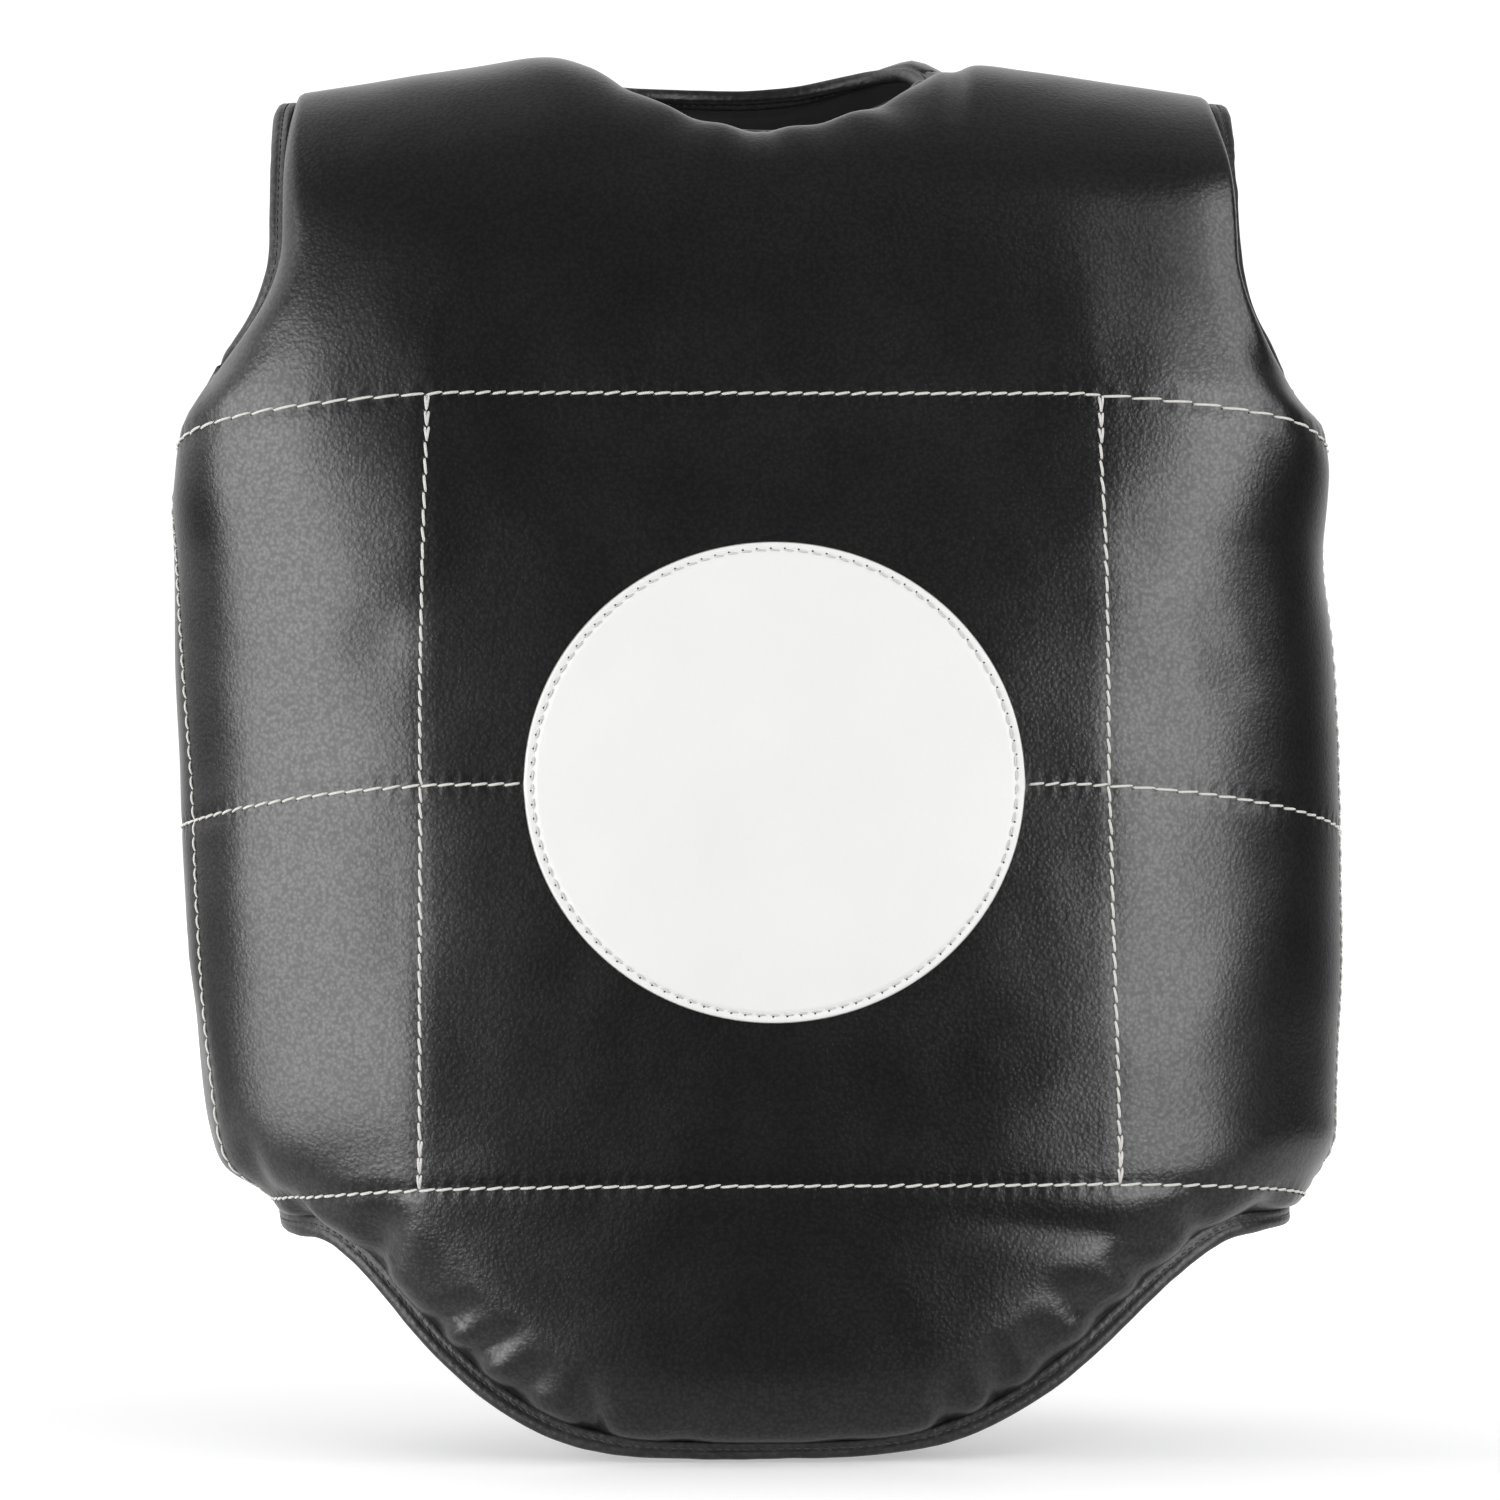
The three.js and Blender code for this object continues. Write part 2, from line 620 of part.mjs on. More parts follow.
add("front_panel", paddedWall(FRONT, mirrored(HALF), FRONT_ROWS, frontThickness), leather);
add("back_panel", paddedWall(BACK, mirrored(BACK_HALF).reverse(), BACK_ROWS, backThickness), leather);
add("chest_patch", patchGeometry(), whiteLeather);
add("neck_binding", tape(neckLoop()), tapeLeather);
add("armhole_binding_left", tape(armholeLoop(-1)), tapeLeather);
add("armhole_binding_right", tape(armholeLoop(1)), tapeLeather);
add("hem_binding", tape(hemLoop()), tapeLeather);

export default group;
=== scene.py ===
# %% [markdown]
# # A padded body protector in black leatherette
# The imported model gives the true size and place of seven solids: two padded panels, a round
# patch and four edge tapes. This lesson keeps their places and replaces each by a finer piece:
# a quilted skin with folds, folded tape, and every stitch as a small piece of thread.

# %% Load the frame
import math

import bpy
import numpy as np
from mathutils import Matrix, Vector, noise
from mathutils.bvhtree import BVHTree
from mathutils.kdtree import KDTree


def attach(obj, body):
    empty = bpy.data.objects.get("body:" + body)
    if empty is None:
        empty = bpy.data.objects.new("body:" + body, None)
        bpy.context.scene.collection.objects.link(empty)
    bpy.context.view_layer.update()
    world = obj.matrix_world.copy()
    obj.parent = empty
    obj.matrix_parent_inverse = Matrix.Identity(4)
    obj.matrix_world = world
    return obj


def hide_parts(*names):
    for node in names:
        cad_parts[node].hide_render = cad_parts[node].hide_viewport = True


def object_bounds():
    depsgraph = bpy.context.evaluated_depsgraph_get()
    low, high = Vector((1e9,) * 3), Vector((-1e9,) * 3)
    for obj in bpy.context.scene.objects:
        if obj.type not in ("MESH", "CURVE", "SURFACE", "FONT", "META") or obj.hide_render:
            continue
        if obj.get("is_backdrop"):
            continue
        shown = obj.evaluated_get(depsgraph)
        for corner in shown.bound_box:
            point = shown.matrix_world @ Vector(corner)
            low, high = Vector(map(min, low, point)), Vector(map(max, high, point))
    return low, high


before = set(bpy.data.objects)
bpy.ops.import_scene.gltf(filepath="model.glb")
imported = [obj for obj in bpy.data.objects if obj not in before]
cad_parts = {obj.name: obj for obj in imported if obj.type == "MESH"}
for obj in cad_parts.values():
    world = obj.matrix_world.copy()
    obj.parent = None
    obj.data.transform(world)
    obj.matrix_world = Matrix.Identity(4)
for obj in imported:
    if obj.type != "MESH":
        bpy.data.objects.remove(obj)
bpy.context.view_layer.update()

MM = 0.001
print("nodes:", ", ".join(sorted(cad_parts)))

# %% [markdown]
# ## The camera
# The photograph is taken from straight ahead, level with the belly, through a long lens. A long
# lens far away flattens the form, so the sides hardly turn away. The camera is placed first.

# %% Camera
CAMERA_AWAY = 2200 * MM
CAMERA_ASIDE = -5.5 * MM
CAMERA_HEIGHT = -265 * MM
CAMERA_TURN = math.radians(-1.5)
LENS, SENSOR = 125.1, 36


def placed(name, data):
    """A new object in the scene that shows the given data."""
    made = bpy.data.objects.new(name, data)
    bpy.context.scene.collection.objects.link(made)
    return made


lens = bpy.data.cameras.new("camera")
lens.lens = LENS
lens.sensor_width = SENSOR
camera = placed("camera", lens)
ahead = Vector((-math.sin(CAMERA_TURN), math.cos(CAMERA_TURN), 0))
aside = Vector((math.cos(CAMERA_TURN), math.sin(CAMERA_TURN), 0))
camera.location = aside * CAMERA_ASIDE - ahead * CAMERA_AWAY + Vector((0, 0, CAMERA_HEIGHT))
camera.rotation_euler = (math.pi / 2, 0, CAMERA_TURN)
bpy.context.scene.camera = camera
print("camera at", [round(c, 3) for c in camera.location])

# %% [markdown]
# ## The body inside the guard
# A vest has no shape of its own until something fills it. So the first thing to describe is the
# trunk: level sections, each a rounded box, and a cap that rolls over the shoulders. The same
# numbers as in the solids are used, in millimetres, so the fine skin lands on the coarse one.
# NumPy works on whole arrays of places at once, which keeps a dense skin quick.

# %% Sections of the trunk
TORSO = {
    "height": (-590, -462, -410, -350, -240, -180, -130),
    "left": (192, 198, 214, 218, 222, 221, 223),
    "right": (206, 217, 215, 217, 214, 207, 212),
    "front": (80, 84, 86, 88, 88, 86, 83),
    "back": (84, 86, 87, 88, 88, 86, 84),
    "square": (2.4, 2.5, 2.55, 2.6, 2.8, 3.6, 4.8),
}
CHEST = TORSO["height"][-1]
RIDGE, SHOULDER_DROP = 12, 10
BACK_NECK_RISE, BACK_NECK_TILT = 17, 25
TILT_SPAN = {"start": -10, "full": 65, "gone": 90}
NECK_HALF = 72
SHOULDER_HALF = 195
FRONT = {"side": -1, "depth": "front", "arch": 2.5, "reach": 58, "end_row": 6}
BACK = {"side": 1, "depth": "back", "arch": 4, "reach": 62, "end_row": 5}


def lerp(a, b, t):
    return a + (b - a) * t


def ease(value, low, high):
    t = np.clip((value - low) / (high - low), 0, 1)
    return t * t * (3 - 2 * t)


def other_face(face):
    return BACK if face is FRONT else FRONT


def read_torso(column, at):
    """One column of the table at any height, as a smooth curve through the rows."""
    places = np.array(TORSO["height"], float)
    values = np.array(TORSO[column], float)
    last = len(places) - 1
    low = np.maximum(np.arange(last + 1) - 1, 0)
    high = np.minimum(np.arange(last + 1) + 1, last)
    slopes = (values[high] - values[low]) / (places[high] - places[low])
    slopes[-1] = 0
    i = np.clip(np.searchsorted(places, at) - 1, 0, last - 1)
    step = places[i + 1] - places[i]
    t = np.clip((at - places[i]) / step, 0, 1)
    s = 1 - t
    ends = values[i] * s * s * (1 + 2 * t) + values[i + 1] * t * t * (1 + 2 * s)
    return ends + step * t * s * (s * slopes[i] - t * slopes[i + 1])


def section_at(height):
    level = np.minimum(height, CHEST)
    return {name: read_torso(name, level) for name in TORSO if name != "height"}


def unit_curve(angle, power):
    """How far across and how far ahead a direction lies on a rounded box of unit size."""
    across, onward = np.sin(angle), np.cos(angle)
    size = (np.abs(across) ** power + np.abs(onward) ** power) ** (-1 / power)
    return across * size, onward * size


def unit_angle(across, power):
    share = np.clip(across, 0, 0.99999) ** power
    return np.arctan((share / (1 - share)) ** (1 / power))


def around_for(part, x):
    return unit_angle(np.abs(x) / np.where(x < 0, part["left"], part["right"]), part["square"])


def ridge_height(x):
    return RIDGE - SHOULDER_DROP * np.maximum(0, np.abs(x) - NECK_HALF) / (SHOULDER_HALF - NECK_HALF)


def collar_rise(x):
    """How far the back of the neck stands above the shoulder line: more on the viewer's right."""
    start, full, gone = TILT_SPAN.values()
    tilt = np.clip((x - start) / (full - start), 0, 1) ** 2 * (1 - ease(x, full, gone))
    return BACK_NECK_RISE * np.maximum(0, 1 - (x / NECK_HALF) ** 2) + BACK_NECK_TILT * tilt


print("chest", 2 * TORSO["front"][-1], "mm deep inside, shoulders at", RIDGE, "mm")

# %% Points of the body side
ANGLE_STEP = 0.01


def body_point(face, right, around, height, turn):
    """A point of the body side: angle round the trunk, height, and angle over the shoulder."""
    part = section_at(height)
    far_face = other_face(face)
    across, onward = unit_curve(around, part["square"])
    far = np.cos(around) * np.cos(turn) < 0
    depth = np.where(far, part[far_face["depth"]], part[face["depth"]])
    rise, over = unit_curve(turn, np.where(far, far_face["arch"], face["arch"]))
    x = right * across * np.where(right < 0, part["left"], part["right"])
    y = face["side"] * onward * over * depth
    behind = far if face is FRONT else ~far
    collar = collar_rise(x) * np.abs(over) * behind
    above = CHEST + (ridge_height(x) - CHEST) * rise + collar
    return np.stack(np.broadcast_arrays(x, y, np.where(turn <= 0, height, above)), -1)


def unit(vectors):
    return vectors / np.maximum(np.linalg.norm(vectors, axis=-1, keepdims=True), 1e-9)


def body_normal(face, right, around, height, turn):
    def way(low, high):
        return body_point(face, right, *high) - body_point(face, right, *low)

    sideways = way((around - ANGLE_STEP, height, turn), (around + ANGLE_STEP, height, turn))
    level = way((around, height - 1, turn), (around, height + 1, turn))
    over = way((around, height, np.maximum(0, turn - ANGLE_STEP)), (around, height, turn + ANGLE_STEP))
    upward = np.where((turn > 0)[..., None], over, level)
    return unit(np.cross(sideways, upward) * (-face["side"] * right)[..., None])


waist = body_point(FRONT, np.array([1.0]), np.array([math.pi / 2]), np.array([-350.0]), np.zeros(1))
print("flank at the waist", waist[0].round(1))

# %% [markdown]
# ## Where the panels are cut
# A pattern cutter thinks in places on the cloth, not in space. Here a place is a pair: k runs
# from side seam to side seam, with 0 in the middle and 0.5 on the upright quilting, and r climbs
# from the hem through the three rows of quilting to the armhole, the neck and the shoulder seam.
# One function turns any such pair into a spot on the body. A pair of values in a table gives the
# viewer's left and right, which differ a little.

# %% Pattern lines
ARMHOLES = {"x": (195, 186), "corner": (-108, -116), "bottom": (-128, -131)}
FLANK_SHAPE = 2.6
NECK_SHAPE = 2.3
SIDE_SEAMS = (math.radians(82), math.radians(94))
HEM_SIDE = -456
APRON_HALF = (185, 195)
APRON_SHAPE = (2.1, 1.75)
HEM_DROP = {"front": 89, "back": 14}
QUILTING_HEIGHT = (-439, -278.5, -122)
QUILTING_SINK = ((9, 18, 25), (14, 25, 31))
SINK_FROM = 0.45
UPRIGHT_X = ((134, 134.6, 136.5), (134.6, 130.2, 130.5))
AT_UPRIGHT, AT_ARMHOLE, AT_NECK = 0.5, 0.75, 0.27
ROW_WAIST, ROW_MIDDLE, ROW_CHEST, ROW_ARMHOLE, ROW_NECK, ROW_SEAM = 1, 2, 3, 4, 5, 6


def by_side(right, pair):
    return np.where(right < 0, pair[0], pair[1])


def sides(k):
    return np.where(k < 0, -1.0, 1.0)


def around_at(face, k, height):
    part = section_at(height)
    right, place = sides(k), np.abs(k)
    upright = by_side(right, [np.interp(height, QUILTING_HEIGHT, x) for x in UPRIGHT_X])
    inner = around_for(part, right * upright * place / AT_UPRIGHT)
    seam = by_side(right, SIDE_SEAMS)
    seam = seam if face is FRONT else math.pi - seam
    outer = lerp(around_for(part, right * upright), seam, (place - AT_UPRIGHT) / (1 - AT_UPRIGHT))
    return np.where(place <= AT_UPRIGHT, inner, outer)


def line_height(face, k, row):
    """The height of the hem, of a row of quilting or of the armhole's lower edge."""
    right = sides(k)
    level = np.full(np.shape(k), float(HEM_SIDE))
    if row == 0:
        x = np.abs(body_point(face, right, around_at(face, k, level), level, np.zeros_like(level))[..., 0])
        across = np.minimum(1, x / by_side(right, APRON_HALF))
        return HEM_SIDE - ease(1 - across ** by_side(right, APRON_SHAPE), 0, 1) * HEM_DROP[face["depth"]]
    if row == ROW_ARMHOLE:
        along = np.clip((np.abs(k) - AT_ARMHOLE) / (1 - AT_ARMHOLE), 0, 1)
        corner, bottom = by_side(right, ARMHOLES["corner"]), by_side(right, ARMHOLES["bottom"])
        return bottom + (corner - bottom) * (1 - along) ** FLANK_SHAPE
    level[...] = QUILTING_HEIGHT[row - 1]
    sink = by_side(right, [sinks[row - 1] for sinks in QUILTING_SINK])
    return level - sink * ease(np.abs(k), SINK_FROM, 1)


def neck_turn(face, x):
    y = face["reach"] * np.maximum(0, 1 - (np.abs(x) / NECK_HALF) ** NECK_SHAPE) ** (1 / NECK_SHAPE)
    return math.pi / 2 - unit_angle(y / section_at(CHEST)[face["depth"]], face["arch"])


def neck_x(face, turn):
    near = np.where(turn > math.pi / 2, 1, 0)
    pair = (face, other_face(face))
    depth = np.array([section_at(CHEST)[f["depth"]] for f in pair])[near]
    over = np.abs(unit_curve(turn, np.array([f["arch"] for f in pair])[near])[1])
    reach = np.array([f["reach"] for f in pair])[near]
    return NECK_HALF * np.maximum(0, 1 - (over * depth / reach) ** NECK_SHAPE) ** (1 / NECK_SHAPE)


side_hem = line_height(FRONT, np.array([-1.0, 0.0, 1.0]), 0)
print("hem at the left seam, the point and the right seam", side_hem.round(1))

# %% From a place on the pattern to a spot on the body
ARMHOLE_FLARE = 54
FLARE_SHAPE = 1.9
NECK_CORNER_X = 61
SHOULDER_SEAM = math.radians(108)


def trunk_spot(face, k, r):
    """A spot between the hem and the level of the armhole."""
    right = sides(k)
    lines = np.stack([line_height(face, k, row) for row in range(ROW_ARMHOLE + 1)])
    row = np.minimum(np.floor(r), ROW_ARMHOLE - 1).astype(int)
    cells = np.arange(len(k))
    height = lerp(lines[row, cells], lines[row + 1, cells], r - row)
    around = around_at(face, k, height)
    x = body_point(face, right, around, height, np.zeros_like(height))[..., 0]
    climb = (height - CHEST) / (ridge_height(x) - CHEST)
    return right, around, height, np.where(height > CHEST, unit_angle(climb, face["arch"]), 0)


def panel_spot(face, k, r):
    """The spot of the body side under any place of a panel."""
    k, r = (np.ravel(a).astype(float) for a in np.broadcast_arrays(k, r))
    right, around, height, turn = trunk_spot(face, k, np.minimum(r, ROW_ARMHOLE))
    place, low = np.abs(k), r <= ROW_ARMHOLE
    below_x = np.abs(body_point(face, right, around, height, turn)[:, 0])
    rim = trunk_spot(face, right * AT_ARMHOLE, np.full(len(k), float(ROW_ARMHOLE)))
    corner = np.abs(body_point(face, *rim)[:, 0])
    edge = by_side(right, ARMHOLES["x"])
    strap = np.clip((place - AT_NECK) / (AT_ARMHOLE - AT_NECK), 0, 1)
    strap_turn = neck_turn(face, NECK_CORNER_X) if face is FRONT else math.pi - SHOULDER_SEAM
    neck = NECK_CORNER_X if face is FRONT else neck_x(FRONT, np.array(SHOULDER_SEAM))
    above = np.where(place <= AT_NECK, neck * place / AT_NECK, lerp(neck, edge, strap))
    end_turn = np.where(place <= AT_NECK, neck_turn(face, above), strap_turn)
    up = np.clip(r - ROW_ARMHOLE, 0, 1)
    yoke_turn = lerp(turn, end_turn, up)
    climbed = CHEST + (RIDGE - CHEST) * unit_curve(yoke_turn, face["arch"])[0]
    climbed = climbed - by_side(right, ARMHOLES["corner"])
    flare = (corner - edge) * np.clip(1 - climbed / ARMHOLE_FLARE, 0, 1) ** FLARE_SHAPE
    edge_shift = edge + flare - lerp(corner, edge, up)
    yoke_x = lerp(below_x, above, up) + edge_shift * strap**2
    over_turn = lerp(strap_turn, SHOULDER_SEAM, np.clip(r - ROW_NECK, 0, 1))
    over_x = lerp(neck_x(face, over_turn), edge, strap)
    high_x = np.where(r > ROW_NECK, over_x, yoke_x)
    high_around = around_for(section_at(CHEST), right * high_x)
    high_turn = np.where(r > ROW_NECK, over_turn, yoke_turn)
    around, height = np.where(low, around, high_around), np.where(low, height, CHEST)
    return right, around, height, np.where(low, turn, high_turn)


def panel_base(face, k, r):
    """Points of the body side and their outward directions."""
    spot = panel_spot(face, k, r)
    return body_point(face, *spot), body_normal(face, *spot)


middle, facing = panel_base(FRONT, np.array([0.0]), np.array([2.0]))
print("middle of the belly", middle[0].round(1), "faces", facing[0].round(2))

# %% [markdown]
# ## Edges and seams as tracks
# Padding thins out toward every edge, and quilting pulls the skin down along each row of thread.
# Both need one measure: how far is a spot from the nearest edge or seam, and where along it. A
# k-d tree over close points of each line answers that for the whole skin in about a second.

# %% Tracks
TRACK_POINTS = 900
BOTH = (-1, 1)


def run_of(k, r, count=TRACK_POINTS):
    """Places along a straight run of the pattern, from one pair of ends to the other."""
    return np.linspace(*k, count), np.linspace(*r, count)


def running_length(points):
    steps = np.linalg.norm(np.diff(points, axis=0), axis=1)
    return np.concatenate([[0], np.cumsum(steps)])


def track(face, runs, keep=None):
    """One or more runs of the pattern as points, running lengths and a tree to search."""
    points, lengths = [], []
    for k, r in runs:
        line = panel_base(face, *run_of(k, r))[0]
        held = np.ones(len(line), bool) if keep is None else keep(line)
        points.append(line[held])
        lengths.append(running_length(line)[held])
    points = np.concatenate(points)
    tree = KDTree(len(points))
    for i, point in enumerate(points):
        tree.insert(point, i)
    tree.balance()
    return {"points": points, "lengths": np.concatenate(lengths), "tree": tree}


def nearest(line, spots):
    """Distance to a track, the way toward it, and how far along it the nearest point lies."""
    index = np.array([line["tree"].find(spot)[1] for spot in spots])
    toward = line["points"][index] - spots
    return np.linalg.norm(toward, axis=1), toward, line["lengths"][index]


def edge_tracks(face):
    top = face["end_row"]
    neck = [((-AT_NECK, AT_NECK), (ROW_NECK, ROW_NECK))]
    if top > ROW_NECK:
        neck += [((s * AT_NECK, s * AT_NECK), (ROW_NECK, top)) for s in BOTH]
    armhole = [((s * AT_ARMHOLE, s * AT_ARMHOLE), (ROW_ARMHOLE, top)) for s in BOTH]
    armhole += [((s * AT_ARMHOLE, s), (ROW_ARMHOLE, ROW_ARMHOLE)) for s in BOTH]
    return {
        "neck": track(face, neck),
        "armhole": track(face, armhole),
        "hem": track(face, [(BOTH, (0, 0))]),
        "seam": track(face, [((s, s), (0, ROW_ARMHOLE)) for s in BOTH]),
        "shoulder": track(face, [((s * AT_NECK, s * AT_ARMHOLE), (top, top)) for s in BOTH]),
    }


front_edges = edge_tracks(FRONT)
back_edges = edge_tracks(BACK)
print("hem", round(front_edges["hem"]["lengths"][-1]), "mm along the front")

# %% Threads
PATCH = {"x": 1.5, "height": -278, "width": 201, "tall": 193, "thick": 1.5}
ROWS_OF_THREAD = [(BOTH, (row, row)) for row in (ROW_WAIST, ROW_MIDDLE, ROW_CHEST)]
UPRIGHTS = [((s * AT_UPRIGHT, s * AT_UPRIGHT), (ROW_WAIST, ROW_CHEST)) for s in BOTH]
SEAM_IN = 0.85
SEAM_THREADS = [((s * SEAM_IN, s * SEAM_IN), (ROW_WAIST, ROW_ARMHOLE)) for s in BOTH]


def outside_patch(points, margin=0):
    across = (points[:, 0] - PATCH["x"]) / (PATCH["width"] / 2 + margin)
    up = (points[:, 2] - PATCH["height"]) / (PATCH["tall"] / 2 + margin)
    return np.hypot(across, up) > 1


threads = {
    "level": track(FRONT, ROWS_OF_THREAD, outside_patch),
    "upright": track(FRONT, UPRIGHTS + SEAM_THREADS),
}
print("upright quilting", round(running_length(threads["upright"]["points"][:TRACK_POINTS])[-1]), "mm tall")

# %% [markdown]
# ## A grid that keeps step with the stitches
# Each panel is laid out as a grid of columns and rows that pass exactly through the pattern
# lines. Three cells make one stitch, so the skin can dip at every needle hole without the fine
# pattern drifting against the grid.

# %% Grids
COARSE = 3
CELLS_PER_STITCH = 3
MARKS = (0, AT_NECK, AT_UPRIGHT, AT_ARMHOLE, 1)


def knots(marks, counts):
    """Evenly spaced places between marks."""
    places = [np.linspace(*ends, count, endpoint=False) for *ends, count in zip(marks, marks[1:], counts)]
    return np.concatenate([*places, [marks[-1]]])


def both_halves(half):
    return np.concatenate([-half[:0:-1], half])


FRONT_COLUMNS = both_halves(knots(MARKS, (33, 30, 36, 36)))
FRONT_ROWS = knots(range(ROW_SEAM + 1), (48, 72, 72, 6, 60, 30))
BACK_COLUMNS = both_halves(knots(MARKS, (24, 18, 24, 24)))[::-1]
BACK_ROWS = knots(range(ROW_NECK + 1), (6, 42, 42, 6, 42))
print(len(FRONT_COLUMNS), "columns and", len(FRONT_ROWS), "rows on the front")

# %% [markdown]
# ## The thickness of the padding
# Foam under leatherette is full in the middle of a panel and is squeezed at the edges, in a
# round roll. Rather than simulate it, the thickness is written as a function of those distances:
# the result is the same every run, and each fold has a name and a place. Where several limits
# meet, a soft minimum blends them, because real foam has no crease there.

# %% Padding and rolled edges
PAD, EDGE = 27, 4
PANEL_GAP = -0.3
ARMHOLE_PAD = {"under": 12, "yoke": 23, "from": -125, "to": -90}
STRAP_PAD = {"inner": (16.5, 13.5), "outer": (8.5, 6), "from": 85, "to": 190}
SIDE_SEAM_PAD, SHOULDER_SEAM_PAD, SEAM_REACH = 17, 10, 34
ARMHOLE_REACH = 24
STRAP_THINS = (-55, 8)
ROLL = {"neck": 30, "armhole": 16, "shoulder": 5}
FIRM_EDGE = {"from": (-80, -135), "to": (-10, -75)}
BLEND = 1.6
# Along the hem the pad stands up in a short lip, then rises as a flat slope.
HEM_SLOPE = {"lip": 12, "wide": 28, "share": 0.33}
SLOPE_SOFT = 8


def rounded(share):
    return np.sqrt(1 - (1 - np.clip(share, 0, 1)) ** 2)


def softest(*limits):
    """A minimum that passes smoothly from one limit to the next."""
    stack = np.stack(np.broadcast_arrays(*limits))
    return -BLEND * np.log(np.exp(-stack / BLEND).sum(0))


def hem_rise(gap):
    """How full the pad is by the distance in from the hem."""
    along = gap / HEM_SLOPE["wide"]
    slope = along - np.logaddexp(0, SLOPE_SOFT * (along - 1)) / SLOPE_SOFT
    return lerp(rounded(gap / HEM_SLOPE["lip"]), slope, HEM_SLOPE["share"])


def edge_rolls(spots, k, gaps):
    """How full the pad is by its distance from the three free edges."""
    neck, armhole, hem = (gaps[name][0] for name in ("neck", "armhole", "hem"))
    firm = ease(spots[:, 2], by_side(k, FIRM_EDGE["from"]), by_side(k, FIRM_EDGE["to"]))
    arm_roll = lerp(ROLL["armhole"], ROLL["shoulder"], firm)
    return np.minimum.reduce([rounded(neck / ROLL["neck"]), hem_rise(hem), rounded(armhole / arm_roll)])


def padding(spots, k, gaps):
    """How thick the foam is before folds and seams work on it."""
    height, beside = spots[:, 2], np.abs(spots[:, 0])
    on_yoke = ease(height, ARMHOLE_PAD["from"], ARMHOLE_PAD["to"])
    arm_pad = lerp(ARMHOLE_PAD["under"], ARMHOLE_PAD["yoke"], on_yoke)
    arm_pad = lerp(arm_pad, PAD, ease(gaps["armhole"][0], 0, ARMHOLE_REACH))
    seam_pad = lerp(SIDE_SEAM_PAD, PAD, rounded(gaps["seam"][0] / SEAM_REACH))
    out = np.clip((beside - STRAP_PAD["from"]) / (STRAP_PAD["to"] - STRAP_PAD["from"]), 0, 1)
    on_strap = lerp(by_side(k, STRAP_PAD["inner"]), by_side(k, STRAP_PAD["outer"]), out)
    over_pad = lerp(PAD, on_strap, ease(height, *STRAP_THINS))
    strap_pad = lerp(SHOULDER_SEAM_PAD, over_pad, rounded(gaps["shoulder"][0] / SEAM_REACH))
    return softest(seam_pad, strap_pad, arm_pad)


def set_apart(face, points):
    return points + [0, face["side"] * PANEL_GAP / 2, 0]


print("20 mm in from the hem the pad is", round(100 * float(hem_rise(20.0))), "% full")

# %% Folds and creases
CREASE_FADE = 0.04
CREASES_END_Y = 20


def table(columns, *rows):
    """Rows of values as dictionaries, under one line of column names."""
    names = columns.split()
    return [dict(zip(names, row)) for row in rows]


# Rows that tie the flanks in: how deep on each side, how far that reaches up and down.
PULLS = table("row depth wide", (ROW_WAIST, (15, 14), 12), (ROW_CHEST, (8, 8), 14))
PULL_FROM = 0.6
# Folds gathered into the tape: place across, width, depth, length, and lean to the right going up.
HEM_FOLDS = table(
    "x width depth length lean",
    (-196, 9, 6, 16, 0),
    (-178, 5, 6, 22, -0.4),
    (-156, 7, 8, 42, -0.2),
    (-134, 5, 7, 30, 0.2),
    (-121, 5, 7, 34, 0.3),
    (-102, 6, 6, 28, 0.2),
    (-70, 6, 9, 30, -0.3),
    (-34, 9, 2.5, 22, 0),
    (30, 10, 2, 24, 0),
    (72, 6, 7, 26, 0.2),
    (93, 6, 8, 30, 0.3),
    (115, 9, 5, 30, 0),
    (137, 8, 7, 38, -0.3),
    (153, 6, 6, 30, -0.3),
    (172, 6, 5, 26, 0),
    (197, 9, 6, 18, 0),
)
NECK_FOLDS = table(
    "x width depth length lean",
    (-58, 8, 3, 50, -0.2),
    (-28, 10, 2.5, 60, -0.1),
    (-5, 10, 4.5, 36, 0),
    (20, 9, 1.5, 50, 0.1),
    (45, 9, 2.5, 70, 0.2),
)
# Creases and dents away from the edges: two ends seen from ahead, width and depth.
CREASES = table(
    "x z width depth",
    ((-219, -206), (-345, -444), 5, 3.2),
    ((-196, -190), (-414, -449), 4, 2.6),
    ((-231, -226), (-362, -392), 5, 2.4),
    ((-228, -216), (-106, -121), 5, 2.6),
    ((-152, -149), (-200, -240), 15, 0.8),
    ((205, 222), (-104, -134), 6, 3.4),
    ((196, 214), (-112, -146), 5, 1.8),
    ((163, 178), (-196, -248), 9, 0.6),
    ((60, 190), (-452, -466), 8, 1.6),
    ((-187, -164), (-445, -474), 4, 3),
    ((84, 74), (42, -22), 5, 3),
)


def gathered(folds, line, gaps):
    """How deep the folds along one edge pull the skin."""
    gap, _, along = gaps
    order = np.argsort(line["points"][:, 0])
    depth = np.zeros(len(gap))
    for fold in folds:
        start = np.interp(fold["x"], line["points"][order, 0], line["lengths"][order])
        beside = (along - start - fold["lean"] * gap) / fold["width"]
        depth += fold["depth"] * np.exp(-(beside**2)) * (1 - ease(gap, 0, fold["length"]))
    return depth


def creased(spots):
    depth = np.zeros(len(spots))
    for crease in CREASES:
        start, end = np.array([crease["x"], crease["z"]], float).T
        way = end - start
        place = spots[:, [0, 2]] - start
        t = np.clip(place @ way / (way @ way), 0, 1)
        gap = np.linalg.norm(place - t[:, None] * way, axis=1)
        fade = np.sin(math.pi * np.clip(t, CREASE_FADE, 1 - CREASE_FADE))
        depth += crease["depth"] * fade * np.exp(-((gap / crease["width"]) ** 2))
    return depth * (spots[:, 1] < CREASES_END_Y)


